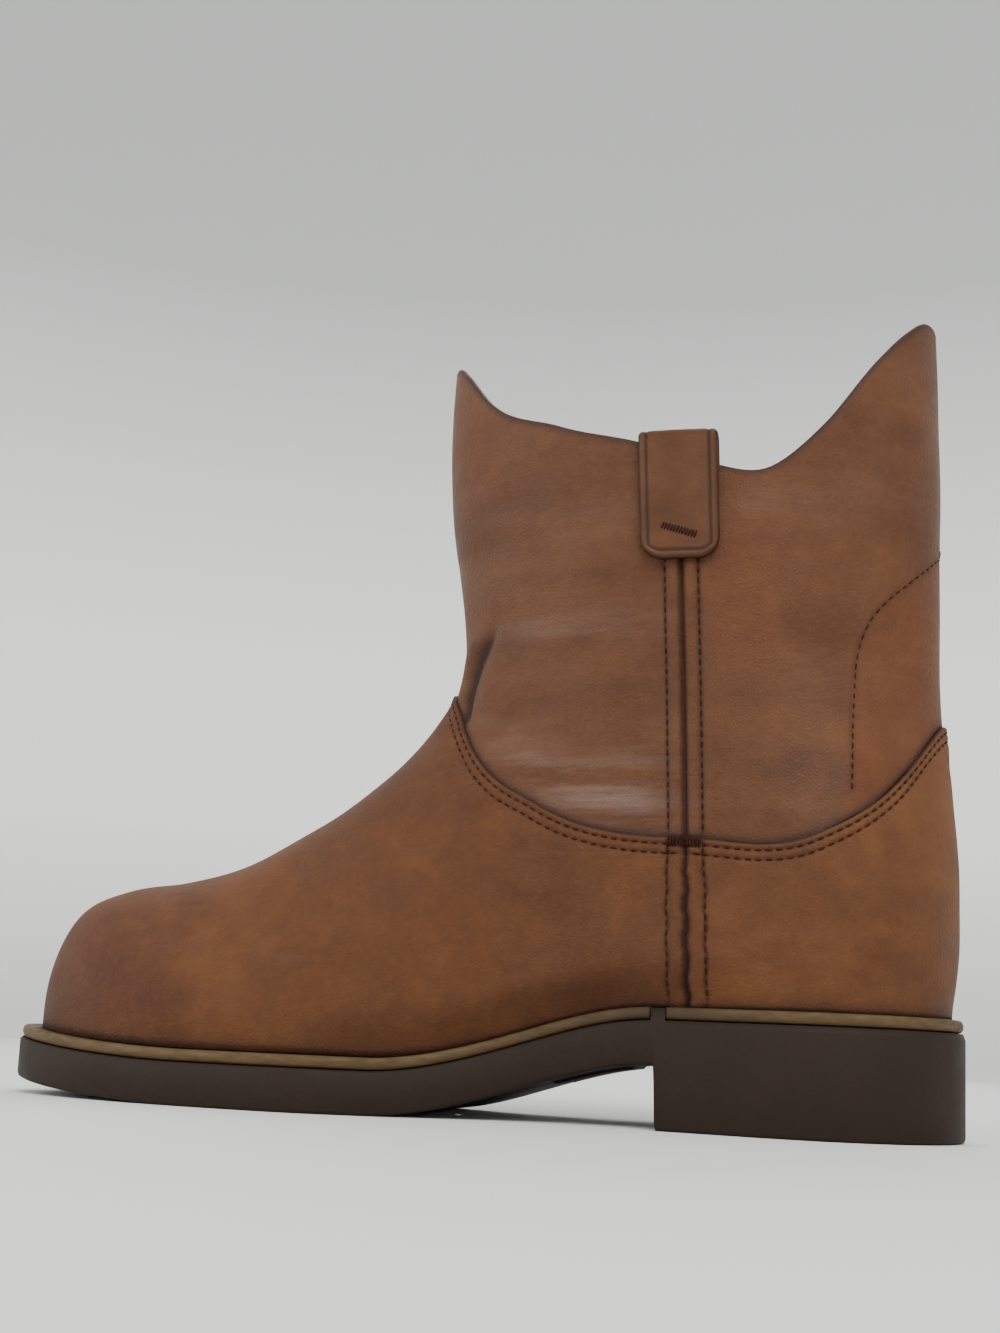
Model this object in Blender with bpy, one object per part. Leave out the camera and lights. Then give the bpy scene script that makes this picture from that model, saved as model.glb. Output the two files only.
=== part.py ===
"""A western work boot for the right foot: a pull-on boot with a plain round toe, a short shaft with
a scalloped collar, side seams, two pull straps and a moulded rubber sole with its heel.

Metres. +X points to the toe, +Y to the medial side (the wearer's left), +Z up. The origin is on the
floor under the middle of the heel. Inside the functions, x is measured from the back edge of the
heel, and it is moved to the origin when a mesh is made."""

import math
from collections import namedtuple

import bmesh
import bpy
import numpy as np

# Sole
SOLE_LENGTH = 0.308
BALL_WIDTH = 0.1077
WAIST_WIDTH = 0.0646
HEEL_WIDTH = 0.0755
HEEL_LENGTH = 0.0878
HEEL_LIFT = 0.0185
SOLE_THICKNESS = 0.0130
SOLE_CHAMFER = 0.0010
TREAD_START = 0.172
TOE_SPRING = 0.0060
SPRING_START = 0.228
TOE_SWING = -0.0045
TOE_FULLNESS = 2.2
HEEL_ROUND = 0.045
BREAST_DRAFT = 0.0006
BREAST_CLEARANCE = 0.0020

# Tread
TREAD_DEPTH = 0.0030
TREAD_MARGIN = 0.0135
TREAD_OVERRUN = 0.0180
PIT_SHIFT = 0.0060
GROOVE_WIDTH = 0.0040
CROSS_ARM = BALL_WIDTH * 0.0464
CROSS_WIDTH = CROSS_ARM * 0.76
PANEL_GAP = 0.009
PANEL_LENGTH = 0.024
PANEL_WIDTH = 0.026
PANEL_SHIFT = 0.002
PANEL_RAISE = 0.0010

# Welt, insole and upper
WELT_THICKNESS = 0.0036
WELT_INSET = 0.0006
WELT_WIDTH = 0.0095
WELT_START = 0.0015
RAND_END = 0.0035
PLATEAU_ROOT = 0.0020
SLAB_CHAMFER = 0.0001
INSOLE_THICKNESS = 0.0035
INSOLE_CLEARANCE = 0.0008
INSOLE_TOE_CLEARANCE = 0.0035
INSOLE_HEEL_CLEARANCE = 0.0016
GAP = 0.0003
UPPER_WALL = 0.0022
VAMP_OVERLAY = 0.0014
FEATHER_INSET_HEEL = 0.0046
FEATHER_INSET_BALL = 0.0064
FEATHER_INSET_TOE = 0.0086
INSTEP_HEIGHT = 0.123
SHAFT_DEPTH = 0.158
SHAFT_SETBACK = 0.0085
COLLAR_HEIGHT = 0.252
COLLAR_FRONT_DROP = 0.004
COLLAR_DIP = 0.058
ANKLE_WIDTH = 0.068
COLLAR_WIDTH = 0.086
BODY_WIDTH = 0.072
JOIN_HEIGHT = 0.135
JOIN_BACK_HEIGHT = 0.124
JOIN_DIP = 0.045
FEATHER_BULGE = 0.0016
BULGE_RISE = 0.014

# Side seams
SEAM_FOOT = 0.0780
SEAM_TOP = 0.0840
SEAM_BAND = 0.0080
SEAM_GROOVE = 0.0012
SEAM_EDGE = 0.0010
SEAM_RAISE = 0.0009

# Pull straps
STRAP_WIDTH = 0.0235
STRAP_THICKNESS = 0.0020
STRAP_DROP = 0.0375
STRAP_INSIDE_DROP = 0.0360
STRAP_CORNER = 0.0070

# Each side of the sole: half widths as shares of the widths above, and where the waist and the ball
# lie as shares of SOLE_LENGTH.
Side = namedtuple("Side", "sign heel waist ball body waist_at ball_at")
MEDIAL = Side(sign=1, heel=0.497, waist=0.440, ball=0.485, body=0.490, waist_at=0.393, ball_at=0.655)
LATERAL = Side(sign=-1, heel=0.503, waist=0.560, ball=0.515, body=0.510, waist_at=0.430, ball_at=0.628)

# How far each outline lies inside the sole's edge, at the heel and waist, at the ball and at the toe.
Inset = namedtuple("Inset", "heel ball toe")
SOLE_EDGE = Inset(0.0, 0.0, 0.0)
FEATHER = Inset(FEATHER_INSET_HEEL, FEATHER_INSET_BALL, FEATHER_INSET_TOE)

# The front outline from the toe to the throat: where, as shares of SOLE_LENGTH from the heel's back,
# and how high above the feather line, as shares of INSTEP_HEIGHT.
Profile = namedtuple("Profile", "along height")
VAMP_PROFILE = (
    Profile(along=0.9700, height=0.125),
    Profile(along=0.9600, height=0.235),
    Profile(along=0.9350, height=0.335),
    Profile(along=0.8850, height=0.398),
    Profile(along=0.8150, height=0.428),
    Profile(along=0.7450, height=0.482),
    Profile(along=0.6800, height=0.562),
    Profile(along=0.6200, height=0.660),
    Profile(along=0.5700, height=0.772),
)
# The shaft's front and back lines: height above the floor as a share of COLLAR_HEIGHT, and how far
# forward of the shaft's back, as shares of SHAFT_DEPTH.
Line = namedtuple("Line", "height forward")
SHAFT_FRONT = (
    Line(height=0.555, forward=0.950),
    Line(height=0.620, forward=0.952),
    Line(height=0.700, forward=0.972),
    Line(height=0.800, forward=0.992),
    Line(height=0.900, forward=1.000),
    Line(height=1.000, forward=0.995),
)
SHAFT_BACK = (
    Line(height=0.100, forward=-0.020),
    Line(height=0.150, forward=-0.021),
    Line(height=0.230, forward=-0.034),
    Line(height=0.310, forward=-0.033),
    Line(height=0.400, forward=-0.022),
    Line(height=0.500, forward=-0.010),
    Line(height=0.620, forward=-0.008),
    Line(height=0.850, forward=-0.004),
    Line(height=1.020, forward=0.004),
)
# The collar's scallop, and the join of the shaft with the vamp: how far each lies below its own
# ends, as a share of COLLAR_DIP and of JOIN_DIP, along the shaft from back to front.
Scallop = namedtuple("Scallop", "along drop")
JOIN_PROFILE = (
    Scallop(along=0.00, drop=0.00),
    Scallop(along=0.08, drop=0.46),
    Scallop(along=0.23, drop=0.90),
    Scallop(along=0.45, drop=1.00),
    Scallop(along=0.77, drop=0.86),
    Scallop(along=0.92, drop=0.50),
    Scallop(along=1.00, drop=0.00),
)
COLLAR_SCALLOP = (
    Scallop(along=0.00, drop=0.00),
    Scallop(along=0.05, drop=0.13),
    Scallop(along=0.11, drop=0.34),
    Scallop(along=0.21, drop=0.72),
    Scallop(along=0.31, drop=0.95),
    Scallop(along=0.42, drop=0.92),
    Scallop(along=0.54, drop=0.80),
    Scallop(along=0.72, drop=0.64),
    Scallop(along=0.88, drop=0.40),
    Scallop(along=1.00, drop=0.00),
)

# Which way the forepart's grooves point, by where they start round its pit, in degrees from the toe.
Lean = namedtuple("Lean", "start points")
GROOVE_LEANS = (
    Lean(start=0, points=0),
    Lean(start=30, points=22),
    Lean(start=55, points=34),
    Lean(start=75, points=44),
    Lean(start=95, points=68),
    Lean(start=115, points=84),
    Lean(start=180, points=90),
)

# How finely the upper is divided
BACK_LINES = 8
FRONT_LINES = 25
FRONT_CROWD = 1.35
VAMP_ROWS = 13
SHAFT_ROWS = 6
PROFILE_SAMPLES = 400
SOLE_STEPS = 60
END_ROUND = 0.010

LEATHER = ("upper_leather", (0.20, 0.085, 0.040), 0.62)
STRAP_LEATHER = ("strap_leather", (0.15, 0.060, 0.030), 0.60)
RUBBER = ("sole_rubber", (0.045, 0.033, 0.026), 0.75)
WELT = ("welt", (0.19, 0.115, 0.050), 0.70)
LINING = ("insole", (0.45, 0.36, 0.25), 0.85)


def ease(t):
    """0 to 1 with level ends."""
    t = np.clip(t, 0.0, 1.0)
    return t * t * (3.0 - 2.0 * t)


def mix(a, b, t):
    return a + (b - a) * t


def smooth_curve(knots, values, at):
    """A curve through the rows of a table, with each slope that of the chord of its neighbours."""
    knots = np.asarray(knots, float)
    values = np.asarray(values, float)
    slopes = np.gradient(values, knots)
    at = np.clip(np.asarray(at, float), knots[0], knots[-1])
    i = np.clip(np.searchsorted(knots, at, side="right") - 1, 0, len(knots) - 2)
    step = knots[i + 1] - knots[i]
    t = (at - knots[i]) / step
    return (
        values[i] * (1 + 2 * t) * (1 - t) ** 2
        + slopes[i] * step * t * (1 - t) ** 2
        + values[i + 1] * t * t * (3 - 2 * t)
        + slopes[i + 1] * step * t * t * (t - 1)
    )


def half_width(x, side, inset, waist_width=WAIST_WIDTH, heel_round=True):
    """Half width of an outline on one side: a full, rounded quarter at the toe, a quarter ellipse at
    the heel, and level at the heel, the waist and the ball between them."""
    x = np.asarray(x, float)
    heel = HEEL_WIDTH * side.heel - inset.heel
    waist = waist_width * side.waist - inset.heel
    ball = BALL_WIDTH * side.ball - inset.ball
    waist_at = SOLE_LENGTH * side.waist_at
    ball_at = SOLE_LENGTH * side.ball_at
    tip = SOLE_LENGTH - inset.toe
    past_ball = np.clip((x - ball_at) / (tip - ball_at), 0, 1)
    toe = ball * (1 - past_ball**TOE_FULLNESS) ** (1 / TOE_FULLNESS)
    from_heel = np.clip((HEEL_ROUND - x) / (HEEL_ROUND - inset.heel), 0, 1)
    back = heel * np.sqrt(1 - from_heel**2) if heel_round else heel + 0 * x
    rear = mix(heel, waist, ease((x - HEEL_ROUND) / (waist_at - HEEL_ROUND)))
    fore = mix(waist, ball, ease((x - waist_at) / (ball_at - waist_at)))
    return np.where(x < HEEL_ROUND, back, np.where(x < waist_at, rear, np.where(x < ball_at, fore, toe)))


def centre_line(x):
    """The toe swings a little to one side of the heel's axis."""
    swing_start = SOLE_LENGTH / 2
    return TOE_SWING * ease((np.asarray(x, float) - swing_start) / (SOLE_LENGTH - swing_start))


def lift(x):
    """How far the heel holds the sole's underside off the floor, down to the ball."""
    return HEEL_LIFT * (1 - ease((np.asarray(x, float) - HEEL_LENGTH) / (TREAD_START - HEEL_LENGTH)))


def spring(x):
    along = np.clip((np.asarray(x, float) - SPRING_START) / (SOLE_LENGTH - SPRING_START), 0, 1)
    return TOE_SPRING * along**1.8


def sole_top(x):
    return lift(x) + SOLE_THICKNESS


def welt_top(x):
    return sole_top(x) + GAP + WELT_THICKNESS


def feather_height(x):
    """The upper's lower edge, with the toe spring."""
    return welt_top(x) + GAP + spring(x)


def back_line(z):
    knots = [row.height * COLLAR_HEIGHT for row in SHAFT_BACK]
    forward = [SHAFT_SETBACK + row.forward * SHAFT_DEPTH for row in SHAFT_BACK]
    return smooth_curve(knots, forward, z)


def front_profile():
    """Points up the front of the boot, from the feather line at the toe to the top of the shaft."""
    tip = SOLE_LENGTH - FEATHER.toe
    rows = [(tip, float(feather_height(tip)))]
    for row in VAMP_PROFILE:
        x = row.along * SOLE_LENGTH
        rows.append((x, float(feather_height(x)) + row.height * INSTEP_HEIGHT))
    for row in SHAFT_FRONT:
        rows.append((SHAFT_SETBACK + row.forward * SHAFT_DEPTH, row.height * COLLAR_HEIGHT))
    rows = np.array(rows)
    length = np.concatenate([[0], np.cumsum(np.hypot(*np.diff(rows, axis=0).T))])
    at = np.linspace(0, length[-1], PROFILE_SAMPLES)
    return np.stack([smooth_curve(length, rows[:, 0], at), smooth_curve(length, rows[:, 1], at)], axis=1)


FRONT = front_profile()
THROAT = int(np.argmax(FRONT[:, 1] >= JOIN_HEIGHT))
RISING = np.maximum.accumulate(FRONT[:, 1])
# The cross-sections are upright ahead of the pivot, level above it, and fan about it in between.
PIVOT_X = SHAFT_SETBACK + SHAFT_DEPTH * 1.16
PIVOT_Z = JOIN_HEIGHT + 0.18 * INSTEP_HEIGHT


def front_line(z):
    """The shaft's front, above the pivot, as x at a height."""
    return np.interp(z, RISING, FRONT[:, 0])


def ridge(x):
    """The vamp's highest line, ahead of the pivot, as a height at x."""
    return np.interp(x, FRONT[::-1, 0], FRONT[::-1, 1])


def from_ridge(x, z):
    """Distance of a point from the boot's front outline, and the depth over which it rounds off."""
    in_fan = (FRONT[:, 0] <= PIVOT_X) & (FRONT[:, 1] <= PIVOT_Z)
    fan = FRONT[in_fan]
    fan_angle = np.arctan2(PIVOT_X - fan[:, 0], PIVOT_Z - fan[:, 1])
    fan_radius = np.hypot(PIVOT_X - fan[:, 0], PIVOT_Z - fan[:, 1])
    angle = np.arctan2(np.maximum(PIVOT_X - x, 0), np.maximum(PIVOT_Z - z, 1e-9))
    radius = np.hypot(PIVOT_X - x, PIVOT_Z - z)
    fan_depth = ridge(PIVOT_X) - feather_height(PIVOT_X)
    shaft_round = SHAFT_DEPTH / 2
    upright = x >= PIVOT_X
    level = (~upright) & (z >= PIVOT_Z)
    distance = np.where(
        upright,
        ridge(x) - z,
        np.where(level, front_line(z) - x, radius - np.interp(angle, fan_angle, fan_radius)),
    )
    turn = ease(angle / (math.pi / 2))
    depth = np.where(
        upright,
        np.maximum(ridge(x) - feather_height(x), 1e-6),
        np.where(level, shaft_round, mix(fan_depth, shaft_round, turn)),
    )
    return distance, depth


def upper_half_width(x, z, side):
    """Half width of the upper on one side, at a place on the boot's side view. The plan's width at
    that height, rounded off towards the front outline and towards the back."""
    plan = half_width(x, side, FEATHER, heel_round=False)
    body_sides = side._replace(waist=side.body)
    body = half_width(x, body_sides, FEATHER, waist_width=BODY_WIDTH, heel_round=False)
    body = body + FEATHER_BULGE * (1 - ease((x - SOLE_LENGTH * 0.85) / (SOLE_LENGTH * 0.12)))
    low = mix(plan, body, ease((z - feather_height(x)) / BULGE_RISE))
    up_shaft = ease((z - JOIN_HEIGHT * 0.75) / (COLLAR_HEIGHT - JOIN_HEIGHT * 0.75))
    shaft = mix(ANKLE_WIDTH, COLLAR_WIDTH, up_shaft) / 2
    into_shaft = ease((z - JOIN_HEIGHT * 0.34) / (JOIN_HEIGHT * 0.55))
    into_shaft = into_shaft * (1 - ease((x - SHAFT_DEPTH) / (SHAFT_DEPTH * 0.5)))
    width = mix(low, shaft, into_shaft)
    distance, depth = from_ridge(x, z)
    power = mix(2.1, 2.4, ease((x - PIVOT_X) / (SOLE_LENGTH - PIVOT_X)))
    short = np.clip(1 - distance / depth, 0, 1)
    front_round = np.sqrt(1 - short**power)
    into_back = ease((z - JOIN_HEIGHT * 0.5) / (JOIN_HEIGHT * 0.6))
    back_depth = mix(HEEL_ROUND - FEATHER.heel, SHAFT_DEPTH / 2, into_back)
    to_back = np.clip(1 - (x - back_line(z)) / back_depth, 0, 1)
    back_round = np.sqrt(1 - to_back**2)
    return width * front_round * back_round


def seam_x(z):
    """Where the side seam crosses a height."""
    low = float(feather_height(SEAM_FOOT))
    return mix(SEAM_FOOT, SEAM_TOP, (z - low) / (COLLAR_HEIGHT - COLLAR_DIP - low))


def dip(rows, depth, along):
    """How far a scalloped line lies below its own ends, at shares of the way along the shaft."""
    return depth * smooth_curve([row.along for row in rows], [row.drop for row in rows], along)


def level_ends(row):
    """Back and front ends of one level line of the upper, and its share of each region. Rows from 0
    to 1 climb from the feather line to the join with the shaft, and rows from 1 to 2 to the collar."""
    heel_back = float(feather_height(0.0))
    if row <= 1:
        z_back = mix(heel_back, JOIN_BACK_HEIGHT, row)
        front = FRONT[int(round(row * THROAT))]
        return (float(back_line(z_back)), z_back), tuple(front)
    z_back = mix(JOIN_BACK_HEIGHT, COLLAR_HEIGHT, row - 1)
    z_front = mix(JOIN_HEIGHT, COLLAR_HEIGHT - COLLAR_FRONT_DROP, row - 1)
    return (float(back_line(z_back)), z_back), (float(front_line(z_front)), z_front)


def level_point(row, along):
    """x and z on a level line, at shares of the way from the back to the front."""
    (x_back, z_back), (x_front, z_front) = level_ends(row)
    x = mix(x_back, x_front, along)
    z = mix(z_back, z_front, along)
    join = dip(JOIN_PROFILE, JOIN_DIP, along)
    if row <= 1:
        first_back, first_front = level_ends(0)
        x_first = mix(first_back[0], first_front[0], along)
        sole_sag = feather_height(x_first) - mix(first_back[1], first_front[1], along)
        return x, z + sole_sag * (1 - row) ** 3 - join * row**2
    return x, z - mix(join, dip(COLLAR_SCALLOP, COLLAR_DIP, along), row - 1)


def level_shares(row):
    """The shares at which the level line is divided, with the side seam's band among them, and how
    far each stands out for that band."""
    (x_back, _), (x_front, _) = level_ends(row)
    seam = 0.5
    for _ in range(6):
        _, z = level_point(row, seam)
        seam = (float(seam_x(z)) - x_back) / (x_front - x_back)
    span = x_front - x_back
    ahead = np.array([SEAM_GROOVE, SEAM_BAND, SEAM_BAND + SEAM_EDGE])
    offsets = np.concatenate([-ahead[::-1], [0], ahead])
    raised = np.array([0, 1, 1, 0, 1, 1, 0]) * SEAM_RAISE
    band = seam + offsets / span
    back = band[0] * (1 - np.cos(np.linspace(0, math.pi / 2, BACK_LINES + 1)[:-1]))
    front = mix(band[-1], 1, 1 - (1 - np.linspace(0, 1, FRONT_LINES + 1)[1:]) ** FRONT_CROWD)
    shares = np.concatenate([back, band, front])
    return shares, np.concatenate([0 * back, raised, 0 * front])


def level_ring(row):
    """One closed level line round the upper, and how far each of its points is raised."""
    shares, raised = level_shares(row)
    x, z = level_point(row, shares)
    rings = []
    for side in (MEDIAL, LATERAL):
        y = centre_line(x) + side.sign * upper_half_width(x, z, side)
        y[[0, -1]] = centre_line(x[[0, -1]])
        rings.append(np.stack([x, y, z], axis=1))
    there, back = rings[0], rings[1][-2:0:-1]
    return np.concatenate([there, back]), np.concatenate([raised, raised[-2:0:-1]])


def outward(points):
    """Unit normals of a grid that is closed along its second axis, level at its first and last rows."""
    around = np.roll(points, -1, axis=1) - np.roll(points, 1, axis=1)
    up = np.gradient(points, axis=0)
    normals = np.cross(up, around)
    normals[[0, -1], :, 2] = 0
    return normals / np.linalg.norm(normals, axis=2, keepdims=True)


def new_object(name, points, faces, finish):
    """An object with one closed mesh, its normals outward, moved to the boot's origin."""
    material_name, colour, roughness = finish
    material = bpy.data.materials.get(material_name) or bpy.data.materials.new(material_name)
    material.use_nodes = True
    shader = material.node_tree.nodes["Principled BSDF"]
    shader.inputs["Base Color"].default_value = (*colour, 1)
    shader.inputs["Roughness"].default_value = roughness
    mesh = bpy.data.meshes.new(name)
    shifted = np.asarray(points, float) - np.array([HEEL_LENGTH / 2, 0, 0])
    mesh.from_pydata(shifted.tolist(), [], [list(map(int, face)) for face in faces])
    grown = bmesh.new()
    grown.from_mesh(mesh)
    bmesh.ops.recalc_face_normals(grown, faces=grown.faces)
    grown.to_mesh(mesh)
    grown.free()
    mesh.materials.append(material)
    made = bpy.data.objects.new(name, mesh)
    bpy.context.scene.collection.objects.link(made)
    return made


def grid_faces(rows, columns, closed, start=0):
    """Quads of a grid of points, row by row."""
    return [
        (
            start + i * columns + j,
            start + i * columns + (j + 1) % columns,
            start + (i + 1) * columns + (j + 1) % columns,
            start + (i + 1) * columns + j,
        )
        for i in range(rows - 1)
        for j in range(columns if closed else columns - 1)
    ]


def lofted(name, sections, finish):
    """A closed solid through rings of points, with a face at each end."""
    rows, columns = len(sections), len(sections[0])
    faces = grid_faces(rows, columns, closed=True)
    faces += [tuple(range(columns)), tuple(range((rows - 1) * columns, rows * columns))]
    return new_object(name, np.concatenate(sections), faces, finish)


def make_upper():
    """The hollow upper: outer wall with the vamp over the shaft and the raised side seams, and a
    smooth inner wall."""
    rows = list(np.linspace(0, 1, VAMP_ROWS + 1) ** 1.1)
    rows += list(np.linspace(1, 2, SHAFT_ROWS + 1)[1:])
    rings = [level_ring(row) for row in rows]
    base = np.array([ring for ring, _ in rings])
    raised = np.array([raise_by for _, raise_by in rings])
    normals = outward(base)
    inner = base - normals * UPPER_WALL
    outer = base + normals * (raised + VAMP_OVERLAY)[..., None]
    shaft = base + normals * raised[..., None]
    outer = np.concatenate([outer[: VAMP_ROWS + 1], shaft[VAMP_ROWS:]])
    columns = base.shape[1]
    outer_faces = grid_faces(len(outer), columns, closed=True)
    first_inner = len(outer) * columns
    inner_faces = [face[::-1] for face in grid_faces(len(inner), columns, closed=True, start=first_inner)]
    last_outer = (len(outer) - 1) * columns
    last_inner = first_inner + (len(inner) - 1) * columns
    rims = []
    for j in range(columns):
        k = (j + 1) % columns
        rims.append((k, j, first_inner + j, first_inner + k))
        rims.append((last_outer + j, last_outer + k, last_inner + k, last_inner + j))
    points = np.concatenate([outer.reshape(-1, 3), inner.reshape(-1, 3)])
    return new_object("upper", points, outer_faces + inner_faces + rims, LEATHER)


def stations(first, last):
    """Places along the boot, shared by all pieces of the sole, and closer together at both ends."""
    steps = SOLE_LENGTH * np.arange(1, SOLE_STEPS) / SOLE_STEPS
    ends = END_ROUND * np.array([0.04, 0.13, 0.28, 0.50, 0.80])
    inner = steps[(steps > first + END_ROUND) & (steps < last - END_ROUND)]
    return np.concatenate([first + ends, inner, last - ends[::-1]])


def slab_section(x, inset, low, high, chamfer):
    """The ring of a slab across the boot at x, with its lower edges chamfered."""
    sides = []
    for side in (MEDIAL, LATERAL):
        edge = float(half_width(x, side, inset))
        inner = max(edge - chamfer, edge * 0.6)
        y = float(centre_line(x))
        corners = ((inner, low), (edge, low + chamfer), (edge, high))
        sides.append([(x, y + side.sign * w, z) for w, z in corners])
    return np.array(sides[0] + sides[1][::-1])


def bare_sole():
    """The sole's outline and side view, level under the toe, before its tread is cut."""
    along = stations(0, SOLE_LENGTH)
    heel = [x for x in along if x < HEEL_LENGTH - BREAST_CLEARANCE]
    fore = [x for x in along if x > HEEL_LENGTH + BREAST_CLEARANCE]
    heel += [HEEL_LENGTH - BREAST_DRAFT / 2]
    fore = [HEEL_LENGTH + BREAST_DRAFT / 2] + fore
    sections = [slab_section(x, SOLE_EDGE, 0.0, float(sole_top(x)), SOLE_CHAMFER) for x in heel]
    sections += [
        slab_section(x, SOLE_EDGE, float(lift(x)), float(sole_top(x)), SOLE_CHAMFER) for x in fore
    ]
    return lofted("outsole", sections, RUBBER)


def helper(made):
    made.hide_render = True
    made.display_type = "WIRE"
    return made


def prism(name, outlines, low, high):
    """Upright prisms on plan outlines, as one mesh that cuts or joins."""
    points, faces = [], []
    for outline in outlines:
        n, start = len(outline), len(points)
        points += [(x, y, low) for x, y in outline] + [(x, y, high) for x, y in outline]
        faces += [(start + i, start + (i + 1) % n, start + n + (i + 1) % n, start + n + i) for i in range(n)]
        faces += [tuple(start + i for i in range(n))[::-1], tuple(start + n + i for i in range(n))]
    return helper(new_object(name, points, faces, RUBBER))


def oval(x_centre, y_centre, half_length, half_breadth, count=32):
    turn = np.linspace(0, 2 * math.pi, count, endpoint=False)
    return [(x_centre + half_length * math.cos(a), y_centre + half_breadth * math.sin(a)) for a in turn]


def groove(x_centre, y_centre, angle, start, end):
    """A straight groove that points away from a centre."""
    c, s, w = math.cos(angle), math.sin(angle), GROOVE_WIDTH / 2
    corners = ((start, -w), (end, -w), (end, w), (start, w))
    return [(x_centre + c * r - s * t, y_centre + s * r + c * t) for r, t in corners]


def cross(x, y, turned):
    """A plus-shaped lug."""
    a, w = CROSS_ARM, CROSS_WIDTH / 2
    quarter = ((w, a), (w, w), (a, w))
    corners = [(p, q) for p, q in quarter] + [(q, -p) for p, q in quarter]
    corners += [(-p, -q) for p, q in quarter] + [(-q, p) for p, q in quarter]
    c, s = math.cos(turned), math.sin(turned)
    return [(x + c * p + s * q, y + s * p - c * q) for p, q in corners]


def reach(x_centre, y_centre, angle, rear):
    """How far a groove runs from the tread's centre to the plain margin along the sole's edge."""
    far = 0.0
    margin = Inset(TREAD_MARGIN, TREAD_MARGIN, TREAD_MARGIN)
    for r in np.arange(0.004, SOLE_LENGTH, 0.0005):
        x, y = x_centre + r * math.cos(angle), y_centre + r * math.sin(angle)
        side = MEDIAL if y > centre_line(x) else LATERAL
        inside = abs(y - centre_line(x)) < half_width(x, side, margin) and x > rear
        if not inside or x > SOLE_LENGTH - TREAD_MARGIN:
            break
        far = r
    return far


def tread(name, pit, rear, front, rays, crosses):
    """The tread of the forepart or of the heel: a sunken oval with crosses in it, and grooves that
    run out from it to the plain margin. rays holds where each groove starts and which way it points."""
    x_centre, y_centre, half_length, half_breadth = pit
    hollow = prism(name + "_pit", [oval(*pit)], -TREAD_DEPTH, TREAD_DEPTH)
    cuts = []
    for start, points in rays:
        x = x_centre + half_length * math.cos(start)
        y = y_centre + half_breadth * math.sin(start)
        end = reach(x, y, points, rear)
        if x + end * math.cos(points) > front:
            end = (front - x) / math.cos(points)
        if end > GROOVE_WIDTH:
            cuts.append(groove(x, y, points, -GROOVE_WIDTH / 4, end))
    grooves = prism(name + "_grooves", cuts, -1.5 * TREAD_DEPTH, 1.15 * TREAD_DEPTH)
    lugs = prism(name + "_crosses", [cross(x, y, turned) for x, y, turned in crosses], 0.0, 1.5 * TREAD_DEPTH)
    return [(hollow, "DIFFERENCE"), (grooves, "DIFFERENCE"), (lugs, "UNION")]


def even_starts(half_length, half_breadth, count):
    """Angles that divide an oval's edge into even lengths, from the toe end to both sides."""
    turn = np.linspace(0, math.pi, PROFILE_SAMPLES)
    edge = np.stack([half_length * np.cos(turn), half_breadth * np.sin(turn)], axis=1)
    length = np.concatenate([[0], np.cumsum(np.hypot(*np.diff(edge, axis=0).T))])
    return np.interp((np.arange(count) + 0.5) / count * length[-1], length, turn)


def forepart_tread():
    x_centre = SOLE_LENGTH * 0.680
    y_centre = float(centre_line(x_centre)) - PIT_SHIFT
    half_length, half_breadth = SOLE_LENGTH * 0.158, BALL_WIDTH * 0.158
    starts = even_starts(half_length, half_breadth, 9)[:8]
    points = np.radians(smooth_curve(*zip(*GROOVE_LEANS), np.degrees(starts)))
    rays = list(zip(starts, points)) + list(zip(-starts, -points))
    pitch_x, pitch_y = CROSS_ARM * 2.50, CROSS_ARM * 2.30
    crosses = [
        (x_centre + column * pitch_x, y_centre + lane * pitch_y, 0.35 * (column % 2))
        for lane in (-0.5, 0.5)
        for column in (-2.5, -1.5, -0.5, 0.5, 1.5, 2.5)
    ]
    crosses.append((x_centre + 3.35 * pitch_x, y_centre, 0.0))
    rear, front = TREAD_START - TREAD_OVERRUN, SOLE_LENGTH - TREAD_MARGIN
    return tread("forepart", (x_centre, y_centre, half_length, half_breadth), rear, front, rays, crosses)


def heel_tread():
    pit = (HEEL_LENGTH / 2, 0.0, HEEL_LENGTH * 0.235, HEEL_WIDTH * 0.150)
    starts = 2 * math.pi * (np.arange(10) + 0.5) / 10
    crosses = [(HEEL_LENGTH / 2 + i * CROSS_ARM * 2.3, 0.0, 0.3 * i) for i in (-1, 0, 1)]
    rear, front = TREAD_MARGIN, HEEL_LENGTH - TREAD_MARGIN * 0.72
    return tread("heel", pit, rear, front, list(zip(starts, starts)), crosses)


def waist_panel():
    """A raised plain panel under the waist, next to the heel."""
    sections = []
    for share in np.linspace(0, 1, 5):
        x = HEEL_LENGTH + PANEL_GAP + share * PANEL_LENGTH
        low = float(lift(x))
        sections.append(
            np.array(
                [
                    (x, PANEL_WIDTH / 2 - PANEL_SHIFT, low - PANEL_RAISE),
                    (x, PANEL_WIDTH / 2 - PANEL_SHIFT, low + PANEL_RAISE),
                    (x, -PANEL_WIDTH / 2 - PANEL_SHIFT, low + PANEL_RAISE),
                    (x, -PANEL_WIDTH / 2 - PANEL_SHIFT, low - PANEL_RAISE),
                ]
            )
        )
    return helper(lofted("panel", sections, RUBBER))


def plateau():
    """The middle of the sole's upper face, which fills the welt's opening."""
    inset = Inset(*(v + WELT_WIDTH + GAP for v in (WELT_INSET, WELT_INSET, WELT_INSET)))
    along = stations(inset.heel, SOLE_LENGTH - inset.toe)
    sections = [
        slab_section(x, inset, float(sole_top(x)) - PLATEAU_ROOT, float(welt_top(x)), SLAB_CHAMFER)
        for x in along
    ]
    return helper(lofted("plateau", sections, RUBBER))


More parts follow.
